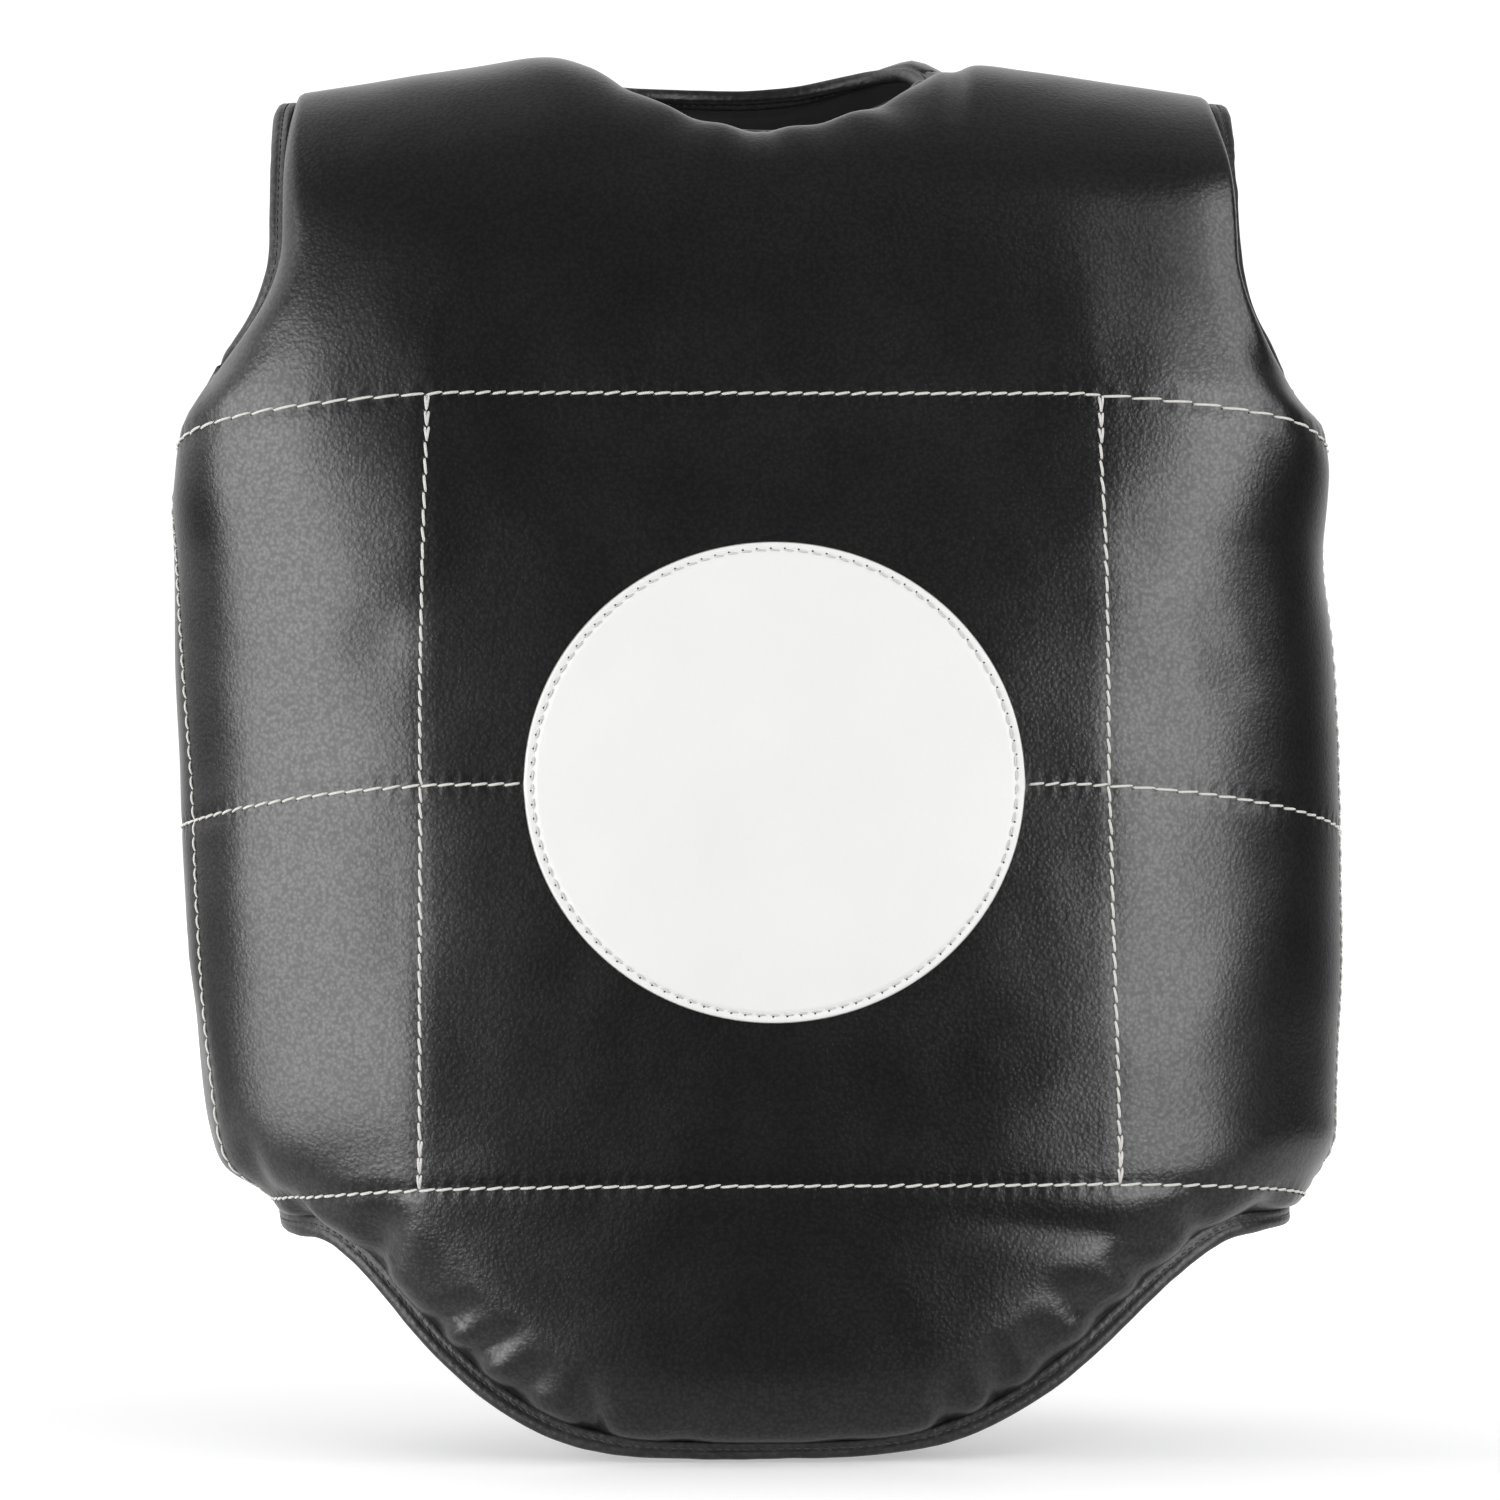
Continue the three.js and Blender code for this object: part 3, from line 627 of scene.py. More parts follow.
def pulled_in(spots, k):
    """The waist and chest rows tie the flanks in, so the pad hangs over them there."""
    depth = np.zeros(len(spots))
    for pull in PULLS:
        above = (spots[:, 2] - line_height(FRONT, k, pull["row"])) / pull["wide"]
        depth += by_side(k, pull["depth"]) * np.exp(-(above**2))
    return depth * ease(np.abs(k), PULL_FROM, 1)


print(len(HEM_FOLDS) + len(NECK_FOLDS), "folds and", len(CREASES), "creases")

# %% Skin of the front
GROOVES = {"level": (0.5, 3.5), "upright": (0.25, 2.5)}
PUCKER = 0.6
BEND_RISE, BEND_FALL = 3.8, 1.2
BEND_ENDS = {"waist": (-520, -430), "chest": (-140, -40)}
UNEVEN = ((0.9, 70), (0.45, 26))
FRONT_SEED, BACK_SEED = 11, 7
TUCK_SHARE, TUCK_DEEP = 0.55, 8
NECK_FOLDS_END = (AT_NECK - 0.06, AT_NECK + 0.02)
# The roll hangs over the tape: how far, where most, and how much of that fades to the sides.
OVERHANG = table("edge out peak fade loss", ("neck", 4.5, 10, (35, 64), 1), ("hem", 2.6, 6, (50, 120), 0.7))


def waves(spots, size, seed):
    """Gentle unevenness of one size, the same on every run."""
    shift = Vector((seed, 2 * seed, 3 * seed))
    return np.array([noise.noise(Vector(spot) / size + shift) for spot in spots])


def uneven(spots, seed):
    return sum(swing * waves(spots, size, seed * (i + 1)) for i, (swing, size) in enumerate(UNEVEN))


def quilted(spots, k, r):
    """The groove along each thread, deeper where the needle went through."""
    cells = {
        "level": np.interp(k, FRONT_COLUMNS, np.arange(len(FRONT_COLUMNS))),
        "upright": np.interp(r, FRONT_ROWS, np.arange(len(FRONT_ROWS))),
    }
    depth = np.zeros(len(spots))
    for name, (deep, wide) in GROOVES.items():
        pull = 1 + PUCKER * np.cos(2 * math.pi * cells[name] / CELLS_PER_STITCH)
        depth += deep * np.exp(-((nearest(threads[name], spots)[0] / wide) ** 2)) * pull
    return depth


def bent(spots, k):
    """The middle of the front is flatter than the flanks, so the skin bends at the uprights."""
    share = np.abs(k) / AT_UPRIGHT
    rise = np.where(share < 1, share**3, np.exp(-(share - 1) * BEND_FALL))
    height = spots[:, 2]
    return BEND_RISE * rise * ease(height, *BEND_ENDS["waist"]) * (1 - ease(height, *BEND_ENDS["chest"]))


def front_skin(k, r):
    """Points of the front's outer skin, in millimetres."""
    k, r = (np.ravel(a).astype(float) for a in np.broadcast_arrays(k, r))
    spots, normals = panel_base(FRONT, k, r)
    gaps = {name: nearest(line, spots) for name, line in front_edges.items()}
    full = padding(spots, k, gaps) + bent(spots, k) - creased(spots)
    full = full - quilted(spots, k, r) - pulled_in(spots, k) + uneven(spots, FRONT_SEED)
    neck_line = {name: front_edges["neck"][name][:TRACK_POINTS] for name in ("points", "lengths")}
    at_neck = 1 - ease(np.abs(k), *NECK_FOLDS_END)
    tucks = {
        "hem": gathered(HEM_FOLDS, front_edges["hem"], gaps["hem"]),
        "neck": gathered(NECK_FOLDS, neck_line, gaps["neck"]) * at_neck,
    }
    thick = np.maximum(0, full - EDGE) * edge_rolls(spots, k, gaps)
    for tuck in tucks.values():
        thick = thick - TUCK_SHARE * thick * np.tanh(tuck / (TUCK_SHARE * np.maximum(thick, 1)))
    skin = spots + normals * (EDGE + thick)[:, None]
    for row in OVERHANG:
        gap, toward, _ = gaps[row["edge"]]
        share = gap / row["peak"]
        free = 1 - np.clip(tucks[row["edge"]] / TUCK_DEEP, 0, 1)
        hung = 1 - row["loss"] * ease(np.abs(spots[:, 0]), *row["fade"])
        skin = skin + unit(toward) * (row["out"] * share * np.exp(1 - share) * free * hung)[:, None]
    return set_apart(FRONT, skin)


belly = front_skin(np.array([0.0]), np.array([1.5]))
print("skin of the belly at", belly[0].round(1))

# %% [markdown]
# ## A shell with a fine skin and a coarse lining
# Each panel is one closed form: the outer skin on every cell of its grid, the lining on every
# third cell, and a rim that joins the two round the edges. Building the arrays directly gives
# full control of where the points go, which a subdivision surface would not.

# %% Shell


def new_piece(name, points, faces):
    """A smooth-shaded object from points in millimetres."""
    mesh = bpy.data.meshes.new(name)
    mesh.from_pydata((points * MM).tolist(), [], faces)
    mesh.polygons.foreach_set("use_smooth", np.ones(len(faces), bool))
    mesh.update()
    return placed(name, mesh)


def cells_kept(face, columns, rows):
    place = np.abs(columns[1:] + columns[:-1]) / 2
    row = (rows[1:] + rows[:-1]) / 2
    top = np.where(place > AT_ARMHOLE, ROW_ARMHOLE, np.where(place < AT_NECK, ROW_NECK, face["end_row"]))
    return row[None, :] < top[:, None]


def rim_faces(coarse, fine_rows, coarse_rows, lining_start):
    """Faces from the skin's free edges to the lining's, one for each coarse cell on an edge."""
    walled = np.pad(coarse, 1)
    faces = []
    for i, j in zip(*np.nonzero(coarse)):
        ring = [(i, j), (i + 1, j), (i + 1, j + 1), (i, j + 1)]
        beside = [walled[i + 1, j], walled[i + 2, j + 1], walled[i + 1, j + 2], walled[i, j + 1]]
        for side, joined_on in enumerate(beside):
            if joined_on:
                continue
            (ai, aj), (bi, bj) = ring[side], ring[(side + 1) % 4]
            steps = [(bi * COARSE + (ai - bi) * t, bj * COARSE + (aj - bj) * t) for t in range(COARSE + 1)]
            under = [lining_start + a * coarse_rows + b for a, b in ((ai, aj), (bi, bj))]
            faces.append([*(a * fine_rows + b for a, b in steps), *under])
    return faces


def padded_shell(name, face, columns, rows, skin):
    """A closed panel: skin, lining and rim, with the skin in the first material slot."""
    k, r = np.meshgrid(columns, rows, indexing="ij")
    fine = skin(k, r)
    lining = set_apart(face, panel_base(face, k[::COARSE, ::COARSE], r[::COARSE, ::COARSE])[0])
    points = np.concatenate([fine, lining])
    count, coarse_count = len(rows), len(rows[::COARSE])
    kept = cells_kept(face, columns, rows)
    coarse = kept[::COARSE, ::COARSE]
    i, j = np.nonzero(kept)
    corner = i * count + j
    outside = np.stack([corner, corner + count, corner + count + 1, corner + 1], 1).tolist()
    i, j = np.nonzero(coarse)
    corner = len(fine) + i * coarse_count + j
    inside = np.stack([corner, corner + 1, corner + coarse_count + 1, corner + coarse_count], 1).tolist()
    rim = rim_faces(coarse, count, coarse_count, len(fine))
    used = np.unique(np.concatenate([np.ravel(f) for f in (outside, inside)]))
    fresh = np.full(len(points), -1)
    fresh[used] = np.arange(len(used))
    faces = outside + rim + inside
    piece = new_piece(name, points[used], [[int(fresh[v]) for v in f] for f in faces])
    slots = np.zeros(len(faces), np.int32)
    slots[len(outside) + len(rim):] = 1
    piece.data.polygons.foreach_set("material_index", slots)
    return piece


print(int(cells_kept(FRONT, FRONT_COLUMNS, FRONT_ROWS).sum()), "cells in the skin of the front")

# %% [markdown]
# ## The quilted front
# This is the piece that makes the object: one skin from the apron's point up over both
# shoulders. About two millimetres a cell is fine enough for every fold and for the pull of each
# stitch, and coarse enough to stay quick.

# %% Front panel
front = padded_shell("front_pad", FRONT, FRONT_COLUMNS, FRONT_ROWS, front_skin)
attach(front, "root")
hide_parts("front_panel")
print(front.name, len(front.data.polygons), "faces")

# %% [markdown]
# ## The plain back
# Only its neck edge shows from the front, so it is finished plainly: thinner foam, the same
# rolled edges, and a skin that is a little uneven. It shares the shell builder with the front.

# %% Back panel
BACK_PAD = 10
BACK_ROLL = {"neck": ROLL["neck"], "armhole": ROLL["armhole"], "hem": ROLL["armhole"]}


def back_skin(k, r):
    spots, normals = panel_base(BACK, k, r)
    gaps = {name: nearest(line, spots)[0] for name, line in back_edges.items()}
    fullness = np.minimum.reduce([rounded(gaps[name] / roll) for name, roll in BACK_ROLL.items()])
    full = lerp(SIDE_SEAM_PAD, BACK_PAD, ease(gaps["seam"], 0, 2 * SEAM_REACH))
    full = full + uneven(spots, BACK_SEED) - pulled_in(spots, np.ravel(k))
    return set_apart(BACK, spots + normals * (EDGE + np.maximum(0, full - EDGE) * fullness)[:, None])


back = padded_shell("back_pad", BACK, BACK_COLUMNS, BACK_ROWS, back_skin)
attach(back, "root")
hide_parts("back_panel")
print(back.name, len(back.data.polygons), "faces")

# %% [markdown]
# ## The round patch
# A disc of white leatherette is sewn on flat, so it takes the curve of the belly. Rays shot at
# the finished skin find where each of its points lies. The row of stitches near its rim presses
# a shallow channel, and the cut edge shows as a thin grey line.

# %% Patch
PATCH_SECTORS = 240
CUT_RINGS = 2
PATCH_SEAM_IN = 3.6
PATCH_LIFT, PATCH_ROOT = 0.25, 0.3
PATCH_LIP = 0.9
CHANNEL = {"deep": 0.5, "wide": 1.1}
# How far in from the rim each ring of points lies: close over the lip and the seam.
INWARD = np.concatenate([[0, 0.15, 0.45, PATCH_LIP], np.linspace(1.6, 7, 12), np.linspace(9, 99.9, 24)])


def skin_tree(piece):
    mesh = piece.data
    outer = [tuple(p.vertices) for p in mesh.polygons if p.material_index == 0]
    return BVHTree.FromPolygons([v.co for v in mesh.vertices], outer)


front_tree = skin_tree(front)


def on_front(x, z):
    """The front's skin and its outward direction at a place seen from straight ahead."""
    spot, normal, _, _ = front_tree.ray_cast(Vector((x * MM, -1, z * MM)), Vector((0, 1, 0)))
    return np.array(spot) / MM, np.array(normal)


def patch_place(inward, angle):
    share = 1 - inward / (PATCH["width"] / 2)
    x = PATCH["x"] + share * PATCH["width"] / 2 * np.cos(angle)
    z = PATCH["height"] + share * PATCH["tall"] / 2 * np.sin(angle)
    return x, z


def patch_height(inward):
    """The top face over the skin, by the distance in from the rim."""
    lip = PATCH["thick"] * rounded(inward / PATCH_LIP)
    channel = CHANNEL["deep"] * np.exp(-(((inward - PATCH_SEAM_IN) / CHANNEL["wide"]) ** 2))
    return PATCH_LIFT + np.maximum(lip - channel, 0)


def patch_ring(low, high):
    """Faces between two rings of points, given where each ring starts."""
    s = np.arange(PATCH_SECTORS)
    t = (s + 1) % PATCH_SECTORS
    return np.stack([low + s, low + t, high + t, high + s], 1).tolist()


angles = np.arange(PATCH_SECTORS) * 2 * math.pi / PATCH_SECTORS
patch_points = []
for inward, lift in [*zip(INWARD, patch_height(INWARD)), (0, -PATCH_ROOT)]:
    for place in zip(*patch_place(inward, angles)):
        spot, normal = on_front(*place)
        patch_points.append(spot + normal * lift)
starts = [ring * PATCH_SECTORS for ring in range(len(INWARD) + 1)]
patch_faces = []
for low, high in [*zip(starts[:-2], starts[1:-1]), (starts[-1], 0)]:
    patch_faces += patch_ring(low, high)
patch_faces.append(list(range(starts[-2], starts[-1])))
patch_faces.append(list(range(starts[-1], len(patch_points)))[::-1])
patch = new_piece("round_patch", np.array(patch_points), patch_faces)
cut_faces = patch.data.polygons[:CUT_RINGS * PATCH_SECTORS] + patch.data.polygons[-PATCH_SECTORS - 2:-2]
for polygon in cut_faces:
    polygon.material_index = 1
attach(patch, "root")
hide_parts("chest_patch")
print(patch.name, len(patch_faces), "faces")

# %% [markdown]
# ## Edge tape
# A strip of leatherette is folded over each raw edge and sewn through. It is swept round the
# edge as a closed section: flat on both faces, pressed in along the seam, and full at the fold.
# Small changes of width along the way keep it from looking like plastic piping. The padding
# pushes the tape over: to the inside at the front of the neck, and to the outside at the
# armholes and along the slopes of the apron.

# %% Tape
TAPE_OUT = 8
TAPE_STEP = 1.6
TAPE_POINTS = 400
TAPE_SEAM_ROW = 3
TAPE_DRIFT = {"slow": (34, 5), "quick": (9, 9), "slow_swing": 0.5, "quick_swing": 0.18}
BUNCH = {"height": -22, "tall": 14, "from_x": 150, "to_y": 30}
# The tape's upper face: how far out from the edge, and how high over it. The seam is pressed in.
TAPE_SECTION = (
    (0.3, 0.7), (1.2, 0.95), (2.5, 1.05), (3.4, 0.45), (4.3, 1.1), (5.6, 1.2), (6.8, 0.8),
    (7.6, -0.1), (TAPE_OUT, -1.5),
)


def smooth_loop(values, reach):
    """A moving average round a closed loop."""
    return sum(np.roll(values, shift, axis=0) for shift in range(-reach, reach + 1)) / (2 * reach + 1)


def closed(values):
    return np.concatenate([values, values[:1]])


def along_path(path, length, at):
    return np.stack([np.interp(at, length, path[:, c]) for c in range(3)], -1)


def edge_loop(runs):
    """A closed loop of edge points with their outward-from-body directions, evenly spaced."""
    parts = [panel_base(face, *run_of(k, r, TAPE_POINTS)) for face, k, r in runs]
    points, normals = (closed(np.concatenate(part)) for part in zip(*parts))
    length = running_length(points)
    count = int(length[-1] / TAPE_STEP)
    at = np.arange(count) * length[-1] / count
    points, normals = (along_path(path, length, at) for path in (points, normals))
    return smooth_loop(points, 2), unit(smooth_loop(normals, 4)), at


def tape_frame(points, normals, tip):
    """Directions out from the edge and through the wall, tipped over by an angle."""
    ahead = np.roll(points, -1, axis=0) - np.roll(points, 1, axis=0)
    outward = -unit(np.cross(ahead, normals))
    outward = unit(smooth_loop(outward, 3))
    lean, upright = np.sin(tip)[:, None], np.cos(tip)[:, None]
    return outward * upright - normals * lean, normals * upright + outward * lean


def bunched(points):
    """Where the tape is crumpled: at the top of the armhole on the viewer's right."""
    near = np.exp(-(((points[:, 2] - BUNCH["height"]) / BUNCH["tall"]) ** 2))
    return near * (points[:, 0] > BUNCH["from_x"]) * (points[:, 1] < BUNCH["to_y"])


def within(points, spans):
    """One where all the spans are full, and nothing where any of them hasn't begun."""
    places = {"x": np.abs(points[:, 0]), "y": points[:, 1], "z": points[:, 2]}
    return np.prod([ease(places[axis], start, full) for axis, start, full in spans], axis=0)


def amounts(points, terms):
    return sum((amount * within(points, spans) for amount, spans in terms), np.zeros(len(points)))


def tape(name, node, runs, tips, stretches, crumple):
    points, normals, along = edge_loop(runs)
    outward, through = tape_frame(points, normals, np.radians(amounts(points, tips)))
    half = EDGE / 2
    upper = [(out, half + lift) for out, lift in TAPE_SECTION]
    section = upper + [(out, -lift) for out, lift in reversed(upper[:-1])] + [(upper[0][0], 0)]
    out, lift = np.array(section).T
    drift = TAPE_DRIFT["slow_swing"] * waves(points, *TAPE_DRIFT["slow"])
    rough = TAPE_DRIFT["quick_swing"] + crumple * bunched(points)
    drift = (drift + rough * waves(points, *TAPE_DRIFT["quick"]))[:, None]
    wider = 1 + amounts(points, stretches)[:, None]
    rings = (points + normals * half)[:, None]
    rings = rings + outward[:, None] * (out * wider + drift * np.clip(out / TAPE_OUT, 0, 1))[..., None]
    rings = rings + through[:, None] * (lift + drift * 0.5)[..., None]
    count, around = rings.shape[:2]
    i, j = (a.ravel() for a in np.meshgrid(np.arange(count), np.arange(around), indexing="ij"))
    after, beside = (i + 1) % count, (j + 1) % around
    faces = np.stack([after * around + j, after * around + beside, i * around + beside, i * around + j], 1)
    piece = new_piece(name, rings.reshape(-1, 3), faces.tolist())
    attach(piece, "root")
    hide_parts(node)
    print(name, round(along[-1]), "mm round,", len(faces), "faces")
    under_row = len(section) - 2 - TAPE_SEAM_ROW
    return piece, [(rings[:, TAPE_SEAM_ROW], through), (rings[:, under_row], -through)]


# %% Tape on the four edges
# A span is an axis, where it begins and where it is full. Along x it counts out from the middle.
AT_FRONT = ("y", 0, -40)
LOW_FRONT = [("z", -128, -100), AT_FRONT]
SLOPES = [("x", 40, 110), ("x", 212, 190), AT_FRONT]
# How far the tape is tipped over in degrees, and how much wider it stands, within such spans.
ARMHOLE_TIPS = [(20, [AT_FRONT, ("z", -120, -90)])]
RIGHT_STRETCHES = [(0.1, LOW_FRONT), (0.5, [*LOW_FRONT, ("z", -45, -80)])]


def armhole_runs(s):
    runs = [
        (FRONT, (s * AT_ARMHOLE, s * AT_ARMHOLE), (ROW_SEAM, ROW_ARMHOLE)),
        (FRONT, (s * AT_ARMHOLE, s), (ROW_ARMHOLE, ROW_ARMHOLE)),
        (BACK, (s, s * AT_ARMHOLE), (ROW_ARMHOLE, ROW_ARMHOLE)),
        (BACK, (s * AT_ARMHOLE, s * AT_ARMHOLE), (ROW_ARMHOLE, ROW_NECK)),
    ]
    return runs if s > 0 else [(face, k[::-1], r[::-1]) for face, k, r in reversed(runs)]


NECK_RUNS = [
    (FRONT, (-AT_NECK, AT_NECK), (ROW_NECK, ROW_NECK)),
    (FRONT, (AT_NECK, AT_NECK), (ROW_NECK, ROW_SEAM)),
    (BACK, (AT_NECK, -AT_NECK), (ROW_NECK, ROW_NECK)),
    (FRONT, (-AT_NECK, -AT_NECK), (ROW_SEAM, ROW_NECK)),
]
HEM_RUNS = [(FRONT, (1, -1), (0, 0)), (BACK, (-1, 1), (0, 0))]

TAPES = table(
    "name node runs tips stretches crumple",
    ("neck_tape", "neck_binding", NECK_RUNS, [(48, [("y", -5, -45)])], [], 0),
    ("armhole_tape_left", "armhole_binding_left", armhole_runs(-1), ARMHOLE_TIPS, [(0.25, LOW_FRONT)], 0),
    ("armhole_tape_right", "armhole_binding_right", armhole_runs(1), ARMHOLE_TIPS, RIGHT_STRETCHES, 1.6),
    ("hem_tape", "hem_binding", HEM_RUNS, [(-16, SLOPES)], [(0.2, SLOPES)], 0),
)
tapes = [tape(**row) for row in TAPES]

# %% [markdown]
# ## Thread
# Each stitch is a short, slightly slanted bead of thread that comes up through one hole and goes
# down through the next. One function makes all the stitches along a line as a single mesh, from
# arrays, so hundreds of them cost little. Thick white thread quilts the front, and fine black
# thread holds the tape. A small black bead beside each needle hole is painted shade in the hole.

# %% Stitches
THREAD_SIDES, THREAD_STEPS = 6, 7
LENGTH_JITTER, SLANT_JITTER = 0.03, 0.25
END_SUNK, END_THIN = 0.45, 0.3
rng = np.random.default_rng(5)


def even_holes(path, pitch):
    end = running_length(path)[-1]
    return np.linspace(0, end, int(end / pitch) + 1)


def stitches(path, normals, holes, share, thick, slant, lift):
    """Points and faces of the stitches along a path, each filling a share of the way between holes."""
    length = running_length(path)
    start = (holes[1:] + holes[:-1]) / 2
    count = len(start)
    u = np.linspace(0, 1, THREAD_STEPS)
    reach = share * np.diff(holes) * (1 + LENGTH_JITTER * rng.standard_normal(count))
    at = start[:, None] + (u[None] - 0.5) * reach[:, None]
    centre = along_path(path, length, at)
    facing = unit(along_path(normals, length, at))
    onward = unit(np.gradient(centre, axis=1))
    across = unit(np.cross(onward, facing))
    lean = slant * (1 + SLANT_JITTER * rng.standard_normal(count))
    arch = np.sqrt(np.clip(1 - (2 * u - 1) ** 2, 0, 1))
    centre = centre + across * (lean[:, None] * (u[None] - 0.5))[..., None]
    centre = centre + facing * (lift * arch - END_SUNK * thick * (1 - arch))[None, :, None]
    radius = 0.5 * thick * (1 - END_THIN + END_THIN * arch)
    turn = np.arange(THREAD_SIDES) * 2 * math.pi / THREAD_SIDES
    ring = across[:, :, None] * np.cos(turn)[:, None] + facing[:, :, None] * np.sin(turn)[:, None]
    points = (centre[:, :, None] + ring * radius[None, :, None, None]).reshape(-1, 3)
    low = np.arange(THREAD_SIDES)
    rows = np.arange(THREAD_STEPS - 1)[:, None] * THREAD_SIDES
    cell, beside = rows + low, rows + (low + 1) % THREAD_SIDES
    quads = np.stack([cell, cell + THREAD_SIDES, beside + THREAD_SIDES, beside], -1).reshape(-1, 4)
    shift = np.arange(count)[:, None, None] * THREAD_STEPS * THREAD_SIDES
    faces = (quads[None] + shift).reshape(-1, 4).tolist()
    high = low[::-1] + (THREAD_STEPS - 1) * THREAD_SIDES
    caps = np.concatenate([low[None] + shift[:, 0], high[None] + shift[:, 0]])
    return points, faces + caps.tolist()


def joined(parts):
    points, faces, shift = [], [], 0
    for part_points, part_faces in parts:
        points.append(part_points)
        faces += [[v + shift for v in face] for face in part_faces]
        shift += len(part_points)
    return np.concatenate(points), faces


def thread_piece(name, parts):
    points, faces = joined(parts)
    piece = new_piece(name, points, faces)
    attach(piece, "root")
    print(name, len(faces), "faces")
    return piece


# %% Quilting
QUILTING = {"share": 1.06, "thick": 1.2, "slant": -0.9, "lift": 0.3}
TACKED = {**QUILTING, "slant": 0.9}
TACK_STITCHES, TACK_ASIDE = 4, 0.7
# A black bead of painted shade at each needle hole: its share, thickness, slant and lift.
HOLE_SHADE = {"share": 1, "thick": 1.0, "slant": 0, "lift": 0}
HOLE_SHADE_ASIDE = 0.75
PATH_POINTS = 4
PATCH_MARGIN = 0.5


def hole_shade_beads(path, normals, holes):
    """A small black bead at each needle hole, a little to one side of the thread: painted shade in the hole.
    """
    across = unit(np.cross(np.gradient(path, axis=0), normals))
    beside = path + across * HOLE_SHADE_ASIDE
    ends = np.stack([holes - HOLE_SHADE["thick"] / 2, holes + HOLE_SHADE["thick"] / 2], 1)
    return joined([stitches(beside, normals, pair, **HOLE_SHADE) for pair in ends[1:-1]])


def sewn(k, r, look=QUILTING, aside=0.0):
    """A row of white stitches along places of the front, one needle hole at each place."""
    fine = np.linspace(0, len(k) - 1, PATH_POINTS * len(k))
    places = [np.interp(fine, np.arange(len(k)), line) for line in (k, r)]
    path, normals = front_skin(*places), panel_base(FRONT, *places)[1]
    holes = np.interp(np.arange(len(k)), fine, running_length(path))
    # A black bead of painted shade at each needle hole of the row.
    if not aside:
        painted_hole_shade.append(hole_shade_beads(path, normals, holes))
    return stitches(path + [aside, 0, 0], normals, holes, **look)


hole_columns = FRONT_COLUMNS[::CELLS_PER_STITCH]
hole_rows = FRONT_ROWS[::CELLS_PER_STITCH]
between_rows = hole_rows[(hole_rows >= ROW_WAIST) & (hole_rows <= ROW_CHEST)][::-1]
quilting, painted_hole_shade = [], []
for row in (ROW_WAIST, ROW_CHEST):
    quilting.append(sewn(hole_columns, np.full(len(hole_columns), row)))
middle_row = np.full(len(hole_columns), ROW_MIDDLE)
shown = outside_patch(front_skin(hole_columns, middle_row), PATCH_MARGIN)
for half in (shown & (hole_columns < 0), shown & (hole_columns > 0)):
    quilting.append(sewn(hole_columns[half], middle_row[half]))
for s in BOTH:
    quilting.append(sewn(np.full(len(between_rows), s * AT_UPRIGHT), between_rows))
    for tack in (between_rows[:TACK_STITCHES], between_rows[-TACK_STITCHES:]):
        quilting.append(sewn(np.full(TACK_STITCHES, s * AT_UPRIGHT), tack, TACKED, TACK_ASIDE))
seam_rows = hole_rows[(hole_rows >= ROW_WAIST) & (hole_rows < ROW_ARMHOLE)]
for s in BOTH:
    quilting.append(sewn(np.full(len(seam_rows), s * SEAM_IN), seam_rows))
quilting_thread = thread_piece("quilting_thread", quilting)

# %% Stitches round the patch
PATCH_STITCH = {"share": 0.82, "thick": 0.8, "slant": 0.35, "lift": 0.3}
PATCH_PITCH = 5.6

ring_at = np.linspace(0, 2 * math.pi, 721)
ring_spots = [on_front(*place) for place in zip(*patch_place(PATCH_SEAM_IN, ring_at))]
ring_path, ring_normals = (np.array(part) for part in zip(*ring_spots))
ring_path = ring_path + ring_normals * patch_height(PATCH_SEAM_IN)
ring_holes = even_holes(ring_path, PATCH_PITCH)
patch_thread = thread_piece("patch_thread", [stitches(ring_path, ring_normals, ring_holes, **PATCH_STITCH)])
# Black beads of painted shade at the needle holes round the patch.
painted_hole_shade.append(hole_shade_beads(ring_path, ring_normals, ring_holes))
hole_shade_piece = thread_piece("painted_hole_shade", painted_hole_shade)

# %% Black stitches on the tape
TAPE_STITCH = {"share": 0.72, "thick": 0.7, "slant": 0.3, "lift": 0.3}
TAPE_PITCH = 3.6

tape_parts = []
for _, seams in tapes:
    for seam, facing in seams:
        path = closed(seam)
        tape_parts.append(stitches(path, closed(facing), even_holes(path, TAPE_PITCH), **TAPE_STITCH))
tape_thread = thread_piece("tape_thread", tape_parts)

# %% [markdown]
# ## Finishes
# Leatherette is a thin plastic skin with an embossed grain: almost black, softly glossy, with a
# fine pebble that only shows where light rakes over it. A Principled shader does the gloss, a
# Voronoi pattern gives the pebbles and noise breaks them up. The size of each pattern is written
# in millimetres and turned into the texture's scale.

# %% Shader building blocks


def label(name):
    return name.replace("_", " ").title()


def add_node(tree, kind, **values):
    """A shader node with some of its settings and input values filled in."""
    made = tree.nodes.new(kind)
    for name, value in values.items():
        if label(name) in made.inputs:
            made.inputs[label(name)].default_value = value
        else:
            setattr(made, name, value)
    return made


def wire(out, into):
    out.id_data.links.new(out, into)


def dress(shader, **looks):
    """Fill inputs of a shader, each with a plain value or with the output of a node."""
    for name, look in looks.items():
        if isinstance(look, bpy.types.NodeSocket):
            wire(look, shader.inputs[label(name)])
        else:
            shader.inputs[label(name)].default_value = look


def blank_finish(name):
    finish = bpy.data.materials.new(name)
    finish.use_nodes = True
    tree = finish.node_tree
    place = add_node(tree, "ShaderNodeTexCoord").outputs["Object"]
    return finish, tree.nodes["Principled BSDF"], place


